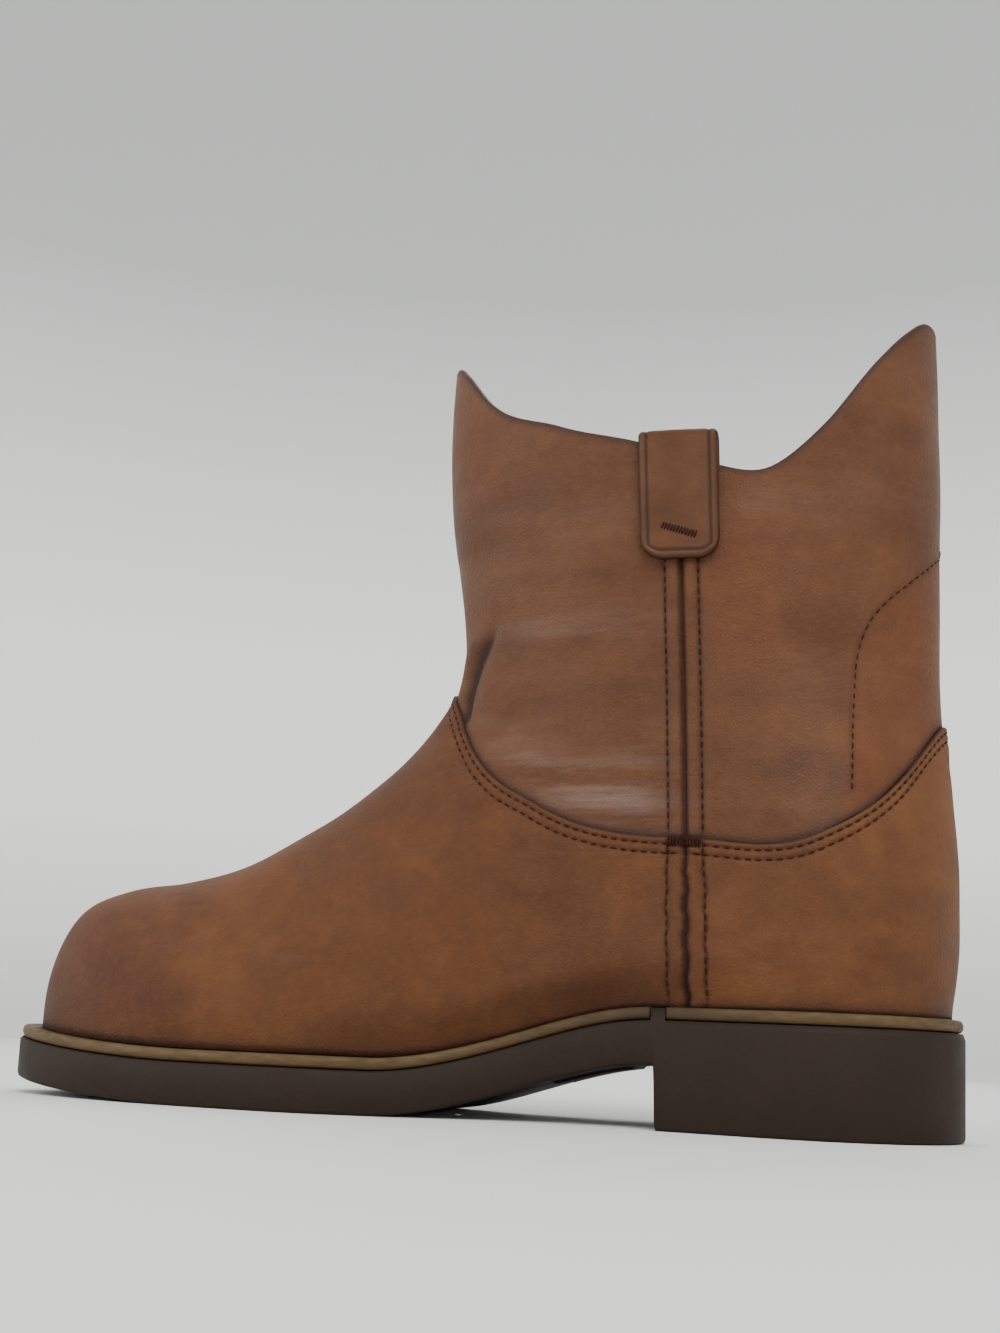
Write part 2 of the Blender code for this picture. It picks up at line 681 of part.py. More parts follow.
def sprung(made):
    """Bakes the object's modifiers and lifts its toe by the spring."""
    graph = bpy.context.evaluated_depsgraph_get()
    mesh = bpy.data.meshes.new_from_object(made.evaluated_get(graph))
    made.modifiers.clear()
    made.data = mesh
    count = len(mesh.vertices)
    co = np.empty(count * 3, np.float32)
    mesh.vertices.foreach_get("co", co)
    co = co.reshape(-1, 3)
    co[:, 2] += spring(co[:, 0] + HEEL_LENGTH / 2)
    mesh.vertices.foreach_set("co", co.ravel())
    mesh.update()
    return made


def make_outsole():
    made = bare_sole()
    steps = [(plateau(), "UNION"), (waist_panel(), "UNION")] + forepart_tread() + heel_tread()
    for cutter, operation in steps:
        modifier = made.modifiers.new(cutter.name, "BOOLEAN")
        modifier.object = cutter
        modifier.operation = operation
        modifier.solver = "EXACT"
    return sprung(made)


def edge_strip(name, first, last, finish):
    """A stretch of the welt along the sole's edge, from one breast round to the other. first and
    last are the ends along the boot: the strip turns round whichever is the toe or the heel."""
    sections = []
    outer = Inset(WELT_INSET, WELT_INSET, WELT_INSET)
    inner = Inset(*(v + WELT_WIDTH for v in outer))
    along = stations(min(first, last), max(first, last))
    along = along if last > first else along[::-1]
    shares = np.concatenate([[0], (along - first) / (last - first), [1]])
    trip = [(share, LATERAL) for share in shares] + [(share, MEDIAL) for share in shares[-2::-1]]
    for share, side in trip:
        ring = []
        for inset in (outer, inner):
            end = SOLE_LENGTH - inset.toe if last > first else inset.heel
            x = mix(first, end, share)
            y = float(centre_line(x)) + side.sign * float(half_width(x, side, inset)) * (share < 1)
            low, high = float(sole_top(x)) + GAP, float(welt_top(x))
            ring += [(x, y, low), (x, y, high)]
        sections.append(np.array([ring[0], ring[1], ring[3], ring[2]]))
    return sprung(lofted(name, sections, finish))


def make_insole():
    inset = Inset(*(v + UPPER_WALL + INSOLE_CLEARANCE for v in FEATHER))
    inset = inset._replace(heel=inset.heel + INSOLE_HEEL_CLEARANCE, toe=inset.toe + INSOLE_TOE_CLEARANCE)
    along = stations(inset.heel, SOLE_LENGTH - inset.toe)
    sections = []
    for x in along:
        low = float(welt_top(x)) + GAP
        sections.append(slab_section(x, inset, low, low + INSOLE_THICKNESS, SLAB_CHAMFER))
    return sprung(lofted("insole", sections, LINING))


def make_strap(side):
    """A strap folded over the collar on the side seam, its outer end rounded."""
    across = np.linspace(-1, 1, 9) * STRAP_WIDTH / 2
    (x_back, _), (x_front, _) = level_ends(2)
    collar_x = np.linspace(SEAM_TOP - STRAP_WIDTH, SEAM_TOP + STRAP_WIDTH, 21)
    collar_z = level_point(2, (collar_x - x_back) / (x_front - x_back))[1]
    crown = float(np.interp(SEAM_TOP + across, collar_x, collar_z).max()) + 2 * GAP
    near = SEAM_RAISE + 2 * GAP
    far = near + STRAP_THICKNESS
    inside = -UPPER_WALL - GAP
    middle, half = (far + inside - STRAP_THICKNESS) / 2, (far - inside + STRAP_THICKNESS) / 2

    def wall(c, z):
        return float(upper_half_width(np.array(seam_x(z) + c), np.array(z), side))

    sections = []
    for c in across:
        past = max(abs(c) - (STRAP_WIDTH / 2 - STRAP_CORNER), 0) / STRAP_CORNER
        corner = STRAP_CORNER * (1 - math.sqrt(max(1 - past**2, 0)))
        ring = []
        outer_leg = np.linspace(crown - STRAP_DROP + corner, crown, 6)
        inner_leg = np.linspace(crown, crown - STRAP_INSIDE_DROP, 5)
        for z in outer_leg:
            ring.append((wall(c, z) + far, z))
        for turn in (0.25, 0.5, 0.75):
            a = math.pi * turn
            ring.append((wall(c, crown) + middle + half * math.cos(a), crown + STRAP_THICKNESS * math.sin(a)))
        for z in inner_leg:
            ring.append((wall(c, z) + inside - STRAP_THICKNESS, z))
        for z in inner_leg[::-1]:
            ring.append((wall(c, z) + inside, z))
        for z in outer_leg[::-1]:
            ring.append((wall(c, z) + near, z))
        sections.append(np.array([(float(seam_x(z)) + c, side.sign * y, z) for y, z in ring]))
    return lofted("pull_strap_" + ("medial" if side.sign > 0 else "lateral"), sections, STRAP_LEATHER)


def main():
    for old in list(bpy.data.objects):
        bpy.data.objects.remove(old)
    make_outsole()
    edge_strip("welt", HEEL_LENGTH + WELT_START, SOLE_LENGTH, WELT)
    edge_strip("heel_rand", HEEL_LENGTH - RAND_END, 0.0, WELT)
    make_insole()
    make_upper()
    for side in (MEDIAL, LATERAL):
        make_strap(side)


main()
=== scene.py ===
"""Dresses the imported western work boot: fine upper with its seams, stitches, welt, sole and tread."""

import math
from collections import namedtuple

import bpy
import numpy as np
from bpy.props import FloatProperty, FloatVectorProperty, PointerProperty
from mathutils import Matrix, Vector


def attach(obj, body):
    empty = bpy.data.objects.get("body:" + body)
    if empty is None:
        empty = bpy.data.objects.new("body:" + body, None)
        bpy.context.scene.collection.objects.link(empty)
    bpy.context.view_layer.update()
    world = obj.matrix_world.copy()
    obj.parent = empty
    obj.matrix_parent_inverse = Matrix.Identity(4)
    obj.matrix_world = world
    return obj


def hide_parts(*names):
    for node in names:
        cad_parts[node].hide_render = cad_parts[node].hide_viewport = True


bl_info = {
    "name": "Western work boot",
    "version": (1, 0, 0),
    "blender": (4, 5, 0),
    "location": "View3D > Sidebar > Boot",
    "description": "Fine surfaces and finishes for a pull-on leather work boot",
    "category": "Object",
}

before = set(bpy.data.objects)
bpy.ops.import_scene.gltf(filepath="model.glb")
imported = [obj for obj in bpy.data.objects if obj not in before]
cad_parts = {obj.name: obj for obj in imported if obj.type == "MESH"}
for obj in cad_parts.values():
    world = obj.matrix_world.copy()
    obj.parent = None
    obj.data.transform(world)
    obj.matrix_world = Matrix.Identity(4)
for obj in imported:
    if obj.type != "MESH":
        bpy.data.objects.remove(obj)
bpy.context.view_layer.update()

# The boot's driving sizes, in metres, as its solids have them. x is counted from the heel's back.
SOLE_LENGTH = 0.308
BALL_WIDTH = 0.1077
WAIST_WIDTH = 0.0646
HEEL_WIDTH = 0.0755
HEEL_LENGTH = 0.0878
HEEL_LIFT = 0.0185
SOLE_THICKNESS = 0.0130
TREAD_START = 0.172
TOE_SPRING = 0.0060
SPRING_START = 0.228
TOE_SWING = -0.0045
TOE_FULLNESS = 2.2
HEEL_ROUND = 0.045
TREAD_DEPTH = 0.0030
TREAD_MARGIN = 0.0135
WELT_THICKNESS = 0.0036
WELT_INSET = 0.0006
WELT_WIDTH = 0.0095
GAP = 0.0003
UPPER_WALL = 0.0022
VAMP_OVERLAY = 0.0014
FEATHER_INSET_HEEL = 0.0046
FEATHER_INSET_BALL = 0.0064
FEATHER_INSET_TOE = 0.0086
INSTEP_HEIGHT = 0.123
SHAFT_DEPTH = 0.158
SHAFT_SETBACK = 0.0085
COLLAR_HEIGHT = 0.252
COLLAR_FRONT_DROP = 0.004
COLLAR_DIP = 0.058
ANKLE_WIDTH = 0.068
COLLAR_WIDTH = 0.086
BODY_WIDTH = 0.072
JOIN_HEIGHT = 0.135
JOIN_BACK_HEIGHT = 0.124
JOIN_DIP = 0.045
FEATHER_BULGE = 0.0016
BULGE_RISE = 0.014
SEAM_FOOT = 0.0780
SEAM_TOP = 0.0840
SEAM_BAND = 0.0080
SEAM_RAISE = 0.0009
STRAP_WIDTH = 0.0235
STRAP_THICKNESS = 0.0020
STRAP_DROP = 0.0375
STRAP_INSIDE_DROP = 0.0360
STRAP_CORNER = 0.0070
INSOLE_THICKNESS = 0.0035
INSOLE_CLEARANCE = 0.0008
INSOLE_TOE_CLEARANCE = 0.0035
INSOLE_HEEL_CLEARANCE = 0.0016
PIT_SHIFT = 0.0060
TREAD_OVERRUN = 0.0180
GROOVE_WIDTH = 0.0040
CROSS_ARM = BALL_WIDTH * 0.0464
CROSS_WIDTH = CROSS_ARM * 0.76
PANEL_GAP = 0.009
PANEL_LENGTH = 0.024
PANEL_WIDTH = 0.026
PANEL_SHIFT = 0.002
PANEL_RAISE = 0.0010
WELT_START = 0.0015
RAND_END = 0.0035

# Each side of the sole: half widths as shares of the widths, and where the waist and the ball lie.
Side = namedtuple("Side", "sign heel waist ball body waist_at ball_at")
MEDIAL = Side(sign=1, heel=0.497, waist=0.440, ball=0.485, body=0.490, waist_at=0.393, ball_at=0.655)
LATERAL = Side(sign=-1, heel=0.503, waist=0.560, ball=0.515, body=0.510, waist_at=0.430, ball_at=0.628)
Inset = namedtuple("Inset", "heel ball toe")
FEATHER = Inset(FEATHER_INSET_HEEL, FEATHER_INSET_BALL, FEATHER_INSET_TOE)

# The front outline, as shares of SOLE_LENGTH along and of INSTEP_HEIGHT above the feather line.
Profile = namedtuple("Profile", "along height")
VAMP_PROFILE = (
    Profile(along=0.9700, height=0.125),
    Profile(along=0.9600, height=0.235),
    Profile(along=0.9350, height=0.335),
    Profile(along=0.8850, height=0.398),
    Profile(along=0.8150, height=0.428),
    Profile(along=0.7450, height=0.482),
    Profile(along=0.6800, height=0.562),
    Profile(along=0.6200, height=0.660),
    Profile(along=0.5700, height=0.772),
)
# The shaft's outlines: height as a share of COLLAR_HEIGHT, forward as a share of SHAFT_DEPTH.
Line = namedtuple("Line", "height forward")
SHAFT_FRONT = (
    Line(height=0.555, forward=0.950),
    Line(height=0.620, forward=0.952),
    Line(height=0.700, forward=0.972),
    Line(height=0.800, forward=0.992),
    Line(height=0.900, forward=1.000),
    Line(height=1.000, forward=0.995),
)
SHAFT_BACK = (
    Line(height=0.100, forward=-0.020),
    Line(height=0.150, forward=-0.021),
    Line(height=0.230, forward=-0.034),
    Line(height=0.310, forward=-0.033),
    Line(height=0.400, forward=-0.022),
    Line(height=0.500, forward=-0.010),
    Line(height=0.620, forward=-0.008),
    Line(height=0.850, forward=-0.004),
    Line(height=1.020, forward=0.004),
)
# The collar's and the join's dips, as shares of COLLAR_DIP and JOIN_DIP, from back to front.
Scallop = namedtuple("Scallop", "along drop")
JOIN_PROFILE = (
    Scallop(along=0.00, drop=0.00),
    Scallop(along=0.08, drop=0.46),
    Scallop(along=0.23, drop=0.90),
    Scallop(along=0.45, drop=1.00),
    Scallop(along=0.77, drop=0.86),
    Scallop(along=0.92, drop=0.50),
    Scallop(along=1.00, drop=0.00),
)
COLLAR_SCALLOP = (
    Scallop(along=0.00, drop=0.02),
    Scallop(along=0.02, drop=0.04),
    Scallop(along=0.05, drop=0.13),
    Scallop(along=0.11, drop=0.34),
    Scallop(along=0.21, drop=0.72),
    Scallop(along=0.31, drop=0.95),
    Scallop(along=0.42, drop=0.92),
    Scallop(along=0.54, drop=0.80),
    Scallop(along=0.72, drop=0.64),
    Scallop(along=0.88, drop=0.40),
    Scallop(along=0.95, drop=0.15),
    Scallop(along=0.98, drop=0.055),
    Scallop(along=1.00, drop=0.035),
)

# Which way the forepart's grooves point, by where they start round its pit, in degrees from the toe.
Lean = namedtuple("Lean", "start points")
GROOVE_LEANS = (
    Lean(start=0, points=0),
    Lean(start=30, points=22),
    Lean(start=55, points=34),
    Lean(start=75, points=44),
    Lean(start=95, points=68),
    Lean(start=115, points=84),
    Lean(start=180, points=90),
)

# Creases and soft folds in the leather, given one by one: both ends on the side view, along from the
# heel's back in shares of SOLE_LENGTH and up from the floor in shares of COLLAR_HEIGHT, how far they
# bend, and depth and half breadth in shares of UPPER_WALL. A fold stands out where the depth is below
# zero. side is 1 for the medial one, -1 for the lateral one, 0 for both.
Crease = namedtuple("Crease", "x0 z0 x1 z1 bend side depth width")
CREASES = (
    Crease(x0=0.471, z0=0.595, x1=0.497, z1=0.490, bend=-0.10, side=1, depth=0.95, width=0.82),
    Crease(x0=0.468, z0=0.583, x1=0.494, z1=0.496, bend=0.06, side=-1, depth=0.60, width=0.98),
    Crease(x0=0.487, z0=0.603, x1=0.506, z1=0.516, bend=-0.10, side=0, depth=-0.64, width=1.54),
    Crease(x0=0.451, z0=0.595, x1=0.474, z1=0.500, bend=-0.10, side=0, depth=-0.41, width=1.82),
    Crease(x0=0.416, z0=0.508, x1=0.480, z1=0.460, bend=0.10, side=0, depth=0.46, width=2.27),
    Crease(x0=0.357, z0=0.754, x1=0.513, z1=0.706, bend=0.08, side=0, depth=0.41, width=3.64),
    Crease(x0=0.318, z0=0.667, x1=0.487, z1=0.643, bend=0.06, side=0, depth=-0.32, width=2.73),
    Crease(x0=0.049, z0=0.595, x1=0.156, z1=0.556, bend=0.10, side=0, depth=0.46, width=3.18),
    Crease(x0=0.058, z0=0.825, x1=0.188, z1=0.754, bend=0.10, side=0, depth=0.41, width=4.09),
    Crease(x0=0.026, z0=0.444, x1=0.097, z1=0.389, bend=0.10, side=0, depth=0.46, width=1.64),
    Crease(x0=0.026, z0=0.349, x1=0.107, z1=0.294, bend=0.10, side=0, depth=0.32, width=2.73),
    Crease(x0=0.487, z0=0.417, x1=0.558, z1=0.309, bend=0.10, side=0, depth=0.46, width=3.18),
    Crease(x0=0.438, z0=0.389, x1=0.506, z1=0.278, bend=0.12, side=0, depth=0.36, width=2.73),
    Crease(x0=0.383, z0=0.222, x1=0.471, z1=0.294, bend=0.12, side=0, depth=0.46, width=3.64),
    Crease(x0=0.601, z0=0.214, x1=0.666, z1=0.294, bend=0.10, side=0, depth=0.36, width=2.73),
    Crease(x0=0.666, z0=0.191, x1=0.718, z1=0.254, bend=0.10, side=0, depth=0.32, width=2.27),
    Crease(x0=0.195, z0=0.302, x1=0.341, z1=0.270, bend=0.05, side=0, depth=0.32, width=5.00),
)

# The stitched edge of the patch at the back of the shaft, in the same shares.
Spot = namedtuple("Spot", "x z")
BACK_PATCH = (
    Spot(x=0.024, z=0.715),
    Spot(x=0.029, z=0.701),
    Spot(x=0.042, z=0.677),
    Spot(x=0.065, z=0.646),
    Spot(x=0.080, z=0.627),
    Spot(x=0.094, z=0.605),
    Spot(x=0.104, z=0.575),
    Spot(x=0.109, z=0.540),
    Spot(x=0.111, z=0.500),
    Spot(x=0.112, z=0.456),
    Spot(x=0.112, z=0.393),
)

# The thinnest wall left under a crease, in metres, and how far out a strap's inner face lies.
LEAST_WALL = 0.0006
STRAP_OUT = SEAM_RAISE + 2 * GAP

# Stitching, in metres: the lines beside a side seam, those below the join's edge, the one behind the
# back patch's edge and the line pressed inside a strap's rim; then the stretches of rows sewn beside
# a seam.
SEAM_LINE_VAMP = 0.0056
SEAM_LINE_SHAFT = 0.0050
JOIN_STITCHES = (0.0020, 0.0048)
PATCH_LINE = 0.0016
STRAP_LINE = 0.0024
SEWN_ROWS = ((0.03, 0.94), (1.02, 1.985))

# Bar tacks, in metres: two rows under the join's edge where the seam meets it, and one on each strap.
JOIN_TACK_X = 0.0800
JOIN_TACK_HALF = 0.0050
JOIN_TACK_DROPS = (0.0006, 0.0018)
STRAP_TACK_Z = 0.1755
STRAP_TACK_HALF = 0.0053
STRAP_TACK_RISE = 0.0016
TACK_PITCH = 0.30

# The upper's grid: columns behind, across and ahead of each side seam, half the breadth of the band
# across it, and rows of the vamp, the shaft and the inner face. The vamp's rows crowd towards the
# join by a power, and the last of them, in shares of the way down, draw its rounded edge.
BACK_COLUMNS = 52
SEAM_COLUMNS = 38
FRONT_COLUMNS = 138
SEAM_SPAN = 0.0098
VAMP_ROWS = 98
SHAFT_ROWS = 64
INNER_ROWS = 25
VAMP_CROWDING = 1.35
VAMP_EDGE_ROWS = (0.0105, 0.0065, 0.0028, 0.0)
VAMP_EDGE_START = 0.016
PROFILE_SAMPLES = 400

# How far the collar's edge is rounded off: on the outer face at its last row and at the row before
# it, and on the inner face.
COLLAR_ROUNDS = (0.0007, 0.0002)
COLLAR_ROUND_INSIDE = 0.0006

# Painted sheen on the shaft, pale highlights laid into the colour: how strong, where along and how far
# they reach there, and how high and how far up and down, in metres. Heights are over the join, or over
# the floor where it says so.
SheenSpot = namedtuple("SheenSpot", "strength x x_reach up up_reach over_floor")
SHEEN_SPOTS = (
    SheenSpot(strength=1.00, x=0.116, x_reach=0.024, up=0.010, up_reach=0.009, over_floor=False),
    SheenSpot(strength=0.35, x=0.121, x_reach=0.030, up=0.150, up_reach=0.010, over_floor=True),
    SheenSpot(strength=0.50, x=0.095, x_reach=0.010, up=0.018, up_reach=0.014, over_floor=False),
    SheenSpot(strength=0.10, x=0.080, x_reach=math.inf, up=0.186, up_reach=0.010, over_floor=True),
)

# The sole's grid: stations along it and lines across its underside. The tread's walls slope over a
# short stretch, and a groove's reach is measured in small steps.
SOLE_STATIONS = 430
SOLE_LINES = 147
TREAD_SLOPE = 0.0008
REACH_STEP = 0.0005
REACH_START = 0.002
REACH_LIMIT = 0.12


def ease(t):
    """0 to 1 with level ends."""
    t = np.clip(t, 0.0, 1.0)
    return t * t * (3.0 - 2.0 * t)


def mix(a, b, t):
    """A straight-line mix, from a at 0 to b at 1."""
    return a + (b - a) * t


def bump(distance, width):
    """1 at no distance, falling off as a bell whose half breadth is width."""
    return np.exp(-((distance / width) ** 2))


def smooth_curve(knots, values, at):
    """A curve through the rows of a table, with each slope that of the chord of its neighbours."""
    knots = np.asarray(knots, float)
    values = np.asarray(values, float)
    slopes = np.gradient(values, knots)
    at = np.clip(np.asarray(at, float), knots[0], knots[-1])
    i = np.clip(np.searchsorted(knots, at, side="right") - 1, 0, len(knots) - 2)
    step = knots[i + 1] - knots[i]
    t = (at - knots[i]) / step
    return (
        values[i] * (1 + 2 * t) * (1 - t) ** 2
        + slopes[i] * step * t * (1 - t) ** 2
        + values[i + 1] * t * t * (3 - 2 * t)
        + slopes[i + 1] * step * t * t * (t - 1)
    )


def half_width(x, side, inset, waist_width=WAIST_WIDTH, heel_round=True):
    """Half width of an outline on one side: a full, rounded quarter at the toe, a quarter ellipse at
    the heel, and level at the heel, the waist and the ball between them."""
    x = np.asarray(x, float)
    heel = HEEL_WIDTH * side.heel - inset.heel
    waist = waist_width * side.waist - inset.heel
    ball = BALL_WIDTH * side.ball - inset.ball
    waist_at = SOLE_LENGTH * side.waist_at
    ball_at = SOLE_LENGTH * side.ball_at
    tip = SOLE_LENGTH - inset.toe
    past_ball = np.clip((x - ball_at) / (tip - ball_at), 0, 1)
    toe = ball * (1 - past_ball**TOE_FULLNESS) ** (1 / TOE_FULLNESS)
    from_heel = np.clip((HEEL_ROUND - x) / (HEEL_ROUND - inset.heel), 0, 1)
    back = heel * np.sqrt(1 - from_heel**2) if heel_round else heel + 0 * x
    rear = mix(heel, waist, ease((x - HEEL_ROUND) / (waist_at - HEEL_ROUND)))
    fore = mix(waist, ball, ease((x - waist_at) / (ball_at - waist_at)))
    return np.where(x < HEEL_ROUND, back, np.where(x < waist_at, rear, np.where(x < ball_at, fore, toe)))


def centre_line(x):
    """The toe swings a little to one side of the heel's axis."""
    swing_start = SOLE_LENGTH / 2
    return TOE_SWING * ease((np.asarray(x, float) - swing_start) / (SOLE_LENGTH - swing_start))


def lift(x):
    """How far the heel holds the sole's underside off the floor, down to the ball."""
    return HEEL_LIFT * (1 - ease((np.asarray(x, float) - HEEL_LENGTH) / (TREAD_START - HEEL_LENGTH)))


def spring(x):
    """How far the toe rises, growing as a power of the way from where it starts."""
    along = np.clip((np.asarray(x, float) - SPRING_START) / (SOLE_LENGTH - SPRING_START), 0, 1)
    return TOE_SPRING * along**1.8


def sole_top(x):
    """Height of the sole's upper face, without the toe spring."""
    return lift(x) + SOLE_THICKNESS


def welt_top(x):
    """Height of the welt's upper face, without the toe spring."""
    return sole_top(x) + GAP + WELT_THICKNESS


def feather_height(x):
    """The upper's lower edge, with the toe spring."""
    return welt_top(x) + GAP + spring(x)


def back_line(z):
    """x of the boot's back outline at a height."""
    knots = [row.height * COLLAR_HEIGHT for row in SHAFT_BACK]
    forward = [SHAFT_SETBACK + row.forward * SHAFT_DEPTH for row in SHAFT_BACK]
    return smooth_curve(knots, forward, z)


def front_profile():
    """Points up the front of the boot, from the feather line at the toe to the top of the shaft."""
    tip = SOLE_LENGTH - FEATHER.toe
    rows = [(tip, float(feather_height(tip)))]
    for row in VAMP_PROFILE:
        x = row.along * SOLE_LENGTH
        rows.append((x, float(feather_height(x)) + row.height * INSTEP_HEIGHT))
    for row in SHAFT_FRONT:
        rows.append((SHAFT_SETBACK + row.forward * SHAFT_DEPTH, row.height * COLLAR_HEIGHT))
    rows = np.array(rows)
    length = np.concatenate([[0], np.cumsum(np.hypot(*np.diff(rows, axis=0).T))])
    at = np.linspace(0, length[-1], PROFILE_SAMPLES)
    return np.stack([smooth_curve(length, rows[:, 0], at), smooth_curve(length, rows[:, 1], at)], axis=1)


FRONT = front_profile()
THROAT = int(np.argmax(FRONT[:, 1] >= JOIN_HEIGHT))
RISING = np.maximum.accumulate(FRONT[:, 1])
PIVOT_X = SHAFT_SETBACK + SHAFT_DEPTH * 1.16
PIVOT_Z = JOIN_HEIGHT + 0.18 * INSTEP_HEIGHT


def front_line(z):
    """x of the boot's front outline at a height."""
    return np.interp(z, RISING, FRONT[:, 0])


def ridge(x):
    """Height of the boot's front outline over a place along it."""
    return np.interp(x, FRONT[::-1, 0], FRONT[::-1, 1])


def from_ridge(x, z):
    """Distance of a point from the boot's front outline, and the depth over which it rounds off.
    Sections are upright ahead of the pivot, level above it, and fan about it in between."""
    in_fan = (FRONT[:, 0] <= PIVOT_X) & (FRONT[:, 1] <= PIVOT_Z)
    fan = FRONT[in_fan]
    fan_angle = np.arctan2(PIVOT_X - fan[:, 0], PIVOT_Z - fan[:, 1])
    fan_radius = np.hypot(PIVOT_X - fan[:, 0], PIVOT_Z - fan[:, 1])
    angle = np.arctan2(np.maximum(PIVOT_X - x, 0), np.maximum(PIVOT_Z - z, 1e-9))
    radius = np.hypot(PIVOT_X - x, PIVOT_Z - z)
    fan_depth = ridge(PIVOT_X) - feather_height(PIVOT_X)
    shaft_round = SHAFT_DEPTH / 2
    upright = x >= PIVOT_X
    level = (~upright) & (z >= PIVOT_Z)
    distance = np.where(
        upright,
        ridge(x) - z,
        np.where(level, front_line(z) - x, radius - np.interp(angle, fan_angle, fan_radius)),
    )
    turn = ease(angle / (math.pi / 2))
    depth = np.where(
        upright,
        np.maximum(ridge(x) - feather_height(x), 1e-6),
        np.where(level, shaft_round, mix(fan_depth, shaft_round, turn)),
    )
    return distance, depth


def upper_half_width(x, z, side):
    """Half width of the upper on one side at a place on the side view: the plan's width at that
    height, rounded off towards the front outline and towards the back."""
    plan = half_width(x, side, FEATHER, heel_round=False)
    body_sides = side._replace(waist=side.body)
    body = half_width(x, body_sides, FEATHER, waist_width=BODY_WIDTH, heel_round=False)
    body = body + FEATHER_BULGE * (1 - ease((x - SOLE_LENGTH * 0.85) / (SOLE_LENGTH * 0.12)))
    low = mix(plan, body, ease((z - feather_height(x)) / BULGE_RISE))
    up_shaft = ease((z - JOIN_HEIGHT * 0.75) / (COLLAR_HEIGHT - JOIN_HEIGHT * 0.75))
    shaft = mix(ANKLE_WIDTH, COLLAR_WIDTH, up_shaft) / 2
    into_shaft = ease((z - JOIN_HEIGHT * 0.34) / (JOIN_HEIGHT * 0.55))
    into_shaft = into_shaft * (1 - ease((x - SHAFT_DEPTH) / (SHAFT_DEPTH * 0.5)))
    width = mix(low, shaft, into_shaft)
    distance, depth = from_ridge(x, z)
    power = mix(2.1, 2.4, ease((x - PIVOT_X) / (SOLE_LENGTH - PIVOT_X)))
    short = np.clip(1 - distance / depth, 0, 1)
    front_round = np.sqrt(1 - short**power)
    into_back = ease((z - JOIN_HEIGHT * 0.5) / (JOIN_HEIGHT * 0.6))
    back_depth = mix(HEEL_ROUND - FEATHER.heel, SHAFT_DEPTH / 2, into_back)
    to_back = np.clip(1 - (x - back_line(z)) / back_depth, 0, 1)
    back_round = np.sqrt(1 - to_back**2)
    return width * front_round * back_round


def seam_x(z):
    """Where the side seam crosses a height."""
    low = float(feather_height(SEAM_FOOT))
    return mix(SEAM_FOOT, SEAM_TOP, (z - low) / (COLLAR_HEIGHT - COLLAR_DIP - low))


def dip(table, depth, along):
    """How far a level line dips, by its table, at shares of its length."""
    return depth * smooth_curve([r.along for r in table], [r.drop for r in table], along)


def level_ends(row):
    """Back and front ends of level lines. Rows 0 to 1 climb from the feather line to the join of
    the shaft, rows 1 to 2 from there to the collar, where both ends already dip a little."""
    row = np.asarray(row, float)
    vamp, shaft = np.clip(row, 0, 1), np.clip(row - 1, 0, 1)
    back_dip, front_dip = (COLLAR_DIP * end.drop * shaft for end in (COLLAR_SCALLOP[0], COLLAR_SCALLOP[-1]))
    z_back = mix(float(feather_height(0.0)), JOIN_BACK_HEIGHT, vamp)
    z_back = z_back + (COLLAR_HEIGHT - JOIN_BACK_HEIGHT) * shaft
    samples = np.arange(PROFILE_SAMPLES)
    z_front = mix(JOIN_HEIGHT, COLLAR_HEIGHT - COLLAR_FRONT_DROP, shaft)
    x_vamp = np.interp(vamp * THROAT, samples, FRONT[:, 0])
    z_vamp = np.interp(vamp * THROAT, samples, FRONT[:, 1])
    z_front = np.where(row <= 1, z_vamp, z_front)
    x_front = np.where(row <= 1, x_vamp, front_line(z_front - front_dip))
    return back_line(z_back - back_dip), z_back, x_front, z_front


def level_point(row, along):
    """x and z on level lines, at shares of the way from the back to the front: the straight line
    between the ends, sagging to the sole's line low down, to the join's and to the collar's dips."""
    x_back, z_back, x_front, z_front = level_ends(row)
    x, z = mix(x_back, x_front, along), mix(z_back, z_front, along)
    x_first_back, z_first_back, x_first_front, z_first_front = level_ends(0.0)
    x_first = mix(x_first_back, x_first_front, along)
    sole_sag = feather_height(x_first) - mix(z_first_back, z_first_front, along)
    join = dip(JOIN_PROFILE, JOIN_DIP, along)
    collar = dip(COLLAR_SCALLOP, COLLAR_DIP, along)
    low = z + sole_sag * np.clip(1 - row, 0, 1) ** 3 - join * row**2
    return x, np.where(row <= 1, low, z - mix(join, collar, row - 1))


def level_height(row, x):
    """Height of a level line over places along the boot, by their share of the way between its ends."""
    x_back, _, x_front, _ = level_ends(row)
    return level_point(row, (x - x_back) / (x_front - x_back))[1]


def seam_share(row):
    """The share along a level line at which the side seam crosses it, found by a few corrections."""
    x_back, _, x_front, _ = level_ends(row)
    share = 0.5 + 0 * np.asarray(row, float)
    for _ in range(8):
        _, z = level_point(row, share)
        share = (seam_x(z) - x_back) / (x_front - x_back)
    return share


def base_point(row, along, side):
    """A point of the upper's inner skin line: the level line's x and z, and the half width there."""
    x, z = level_point(row, along)
    width = upper_half_width(x, z, side)
    return np.stack([x, centre_line(x) + side.sign * width, z], axis=-1)


def base_frame(row, along, side):
    """Point, outward normal and forward direction there, by small steps in both parameters."""
    step = 0.002
    a0, a1 = np.clip(along - step, 0.0005, 0.9995), np.clip(along + step, 0.0005, 0.9995)
    r0, r1 = np.clip(row - step, 0, 2), np.clip(row + step, 0, 2)
    forward = base_point(row, a1, side) - base_point(row, a0, side)
    up = base_point(r1, along, side) - base_point(r0, along, side)
    normal = np.cross(up, forward) * side.sign
    normal /= np.linalg.norm(normal, axis=-1, keepdims=True)
    forward /= np.linalg.norm(forward, axis=-1, keepdims=True)
    return base_point(row, along, side), normal, forward


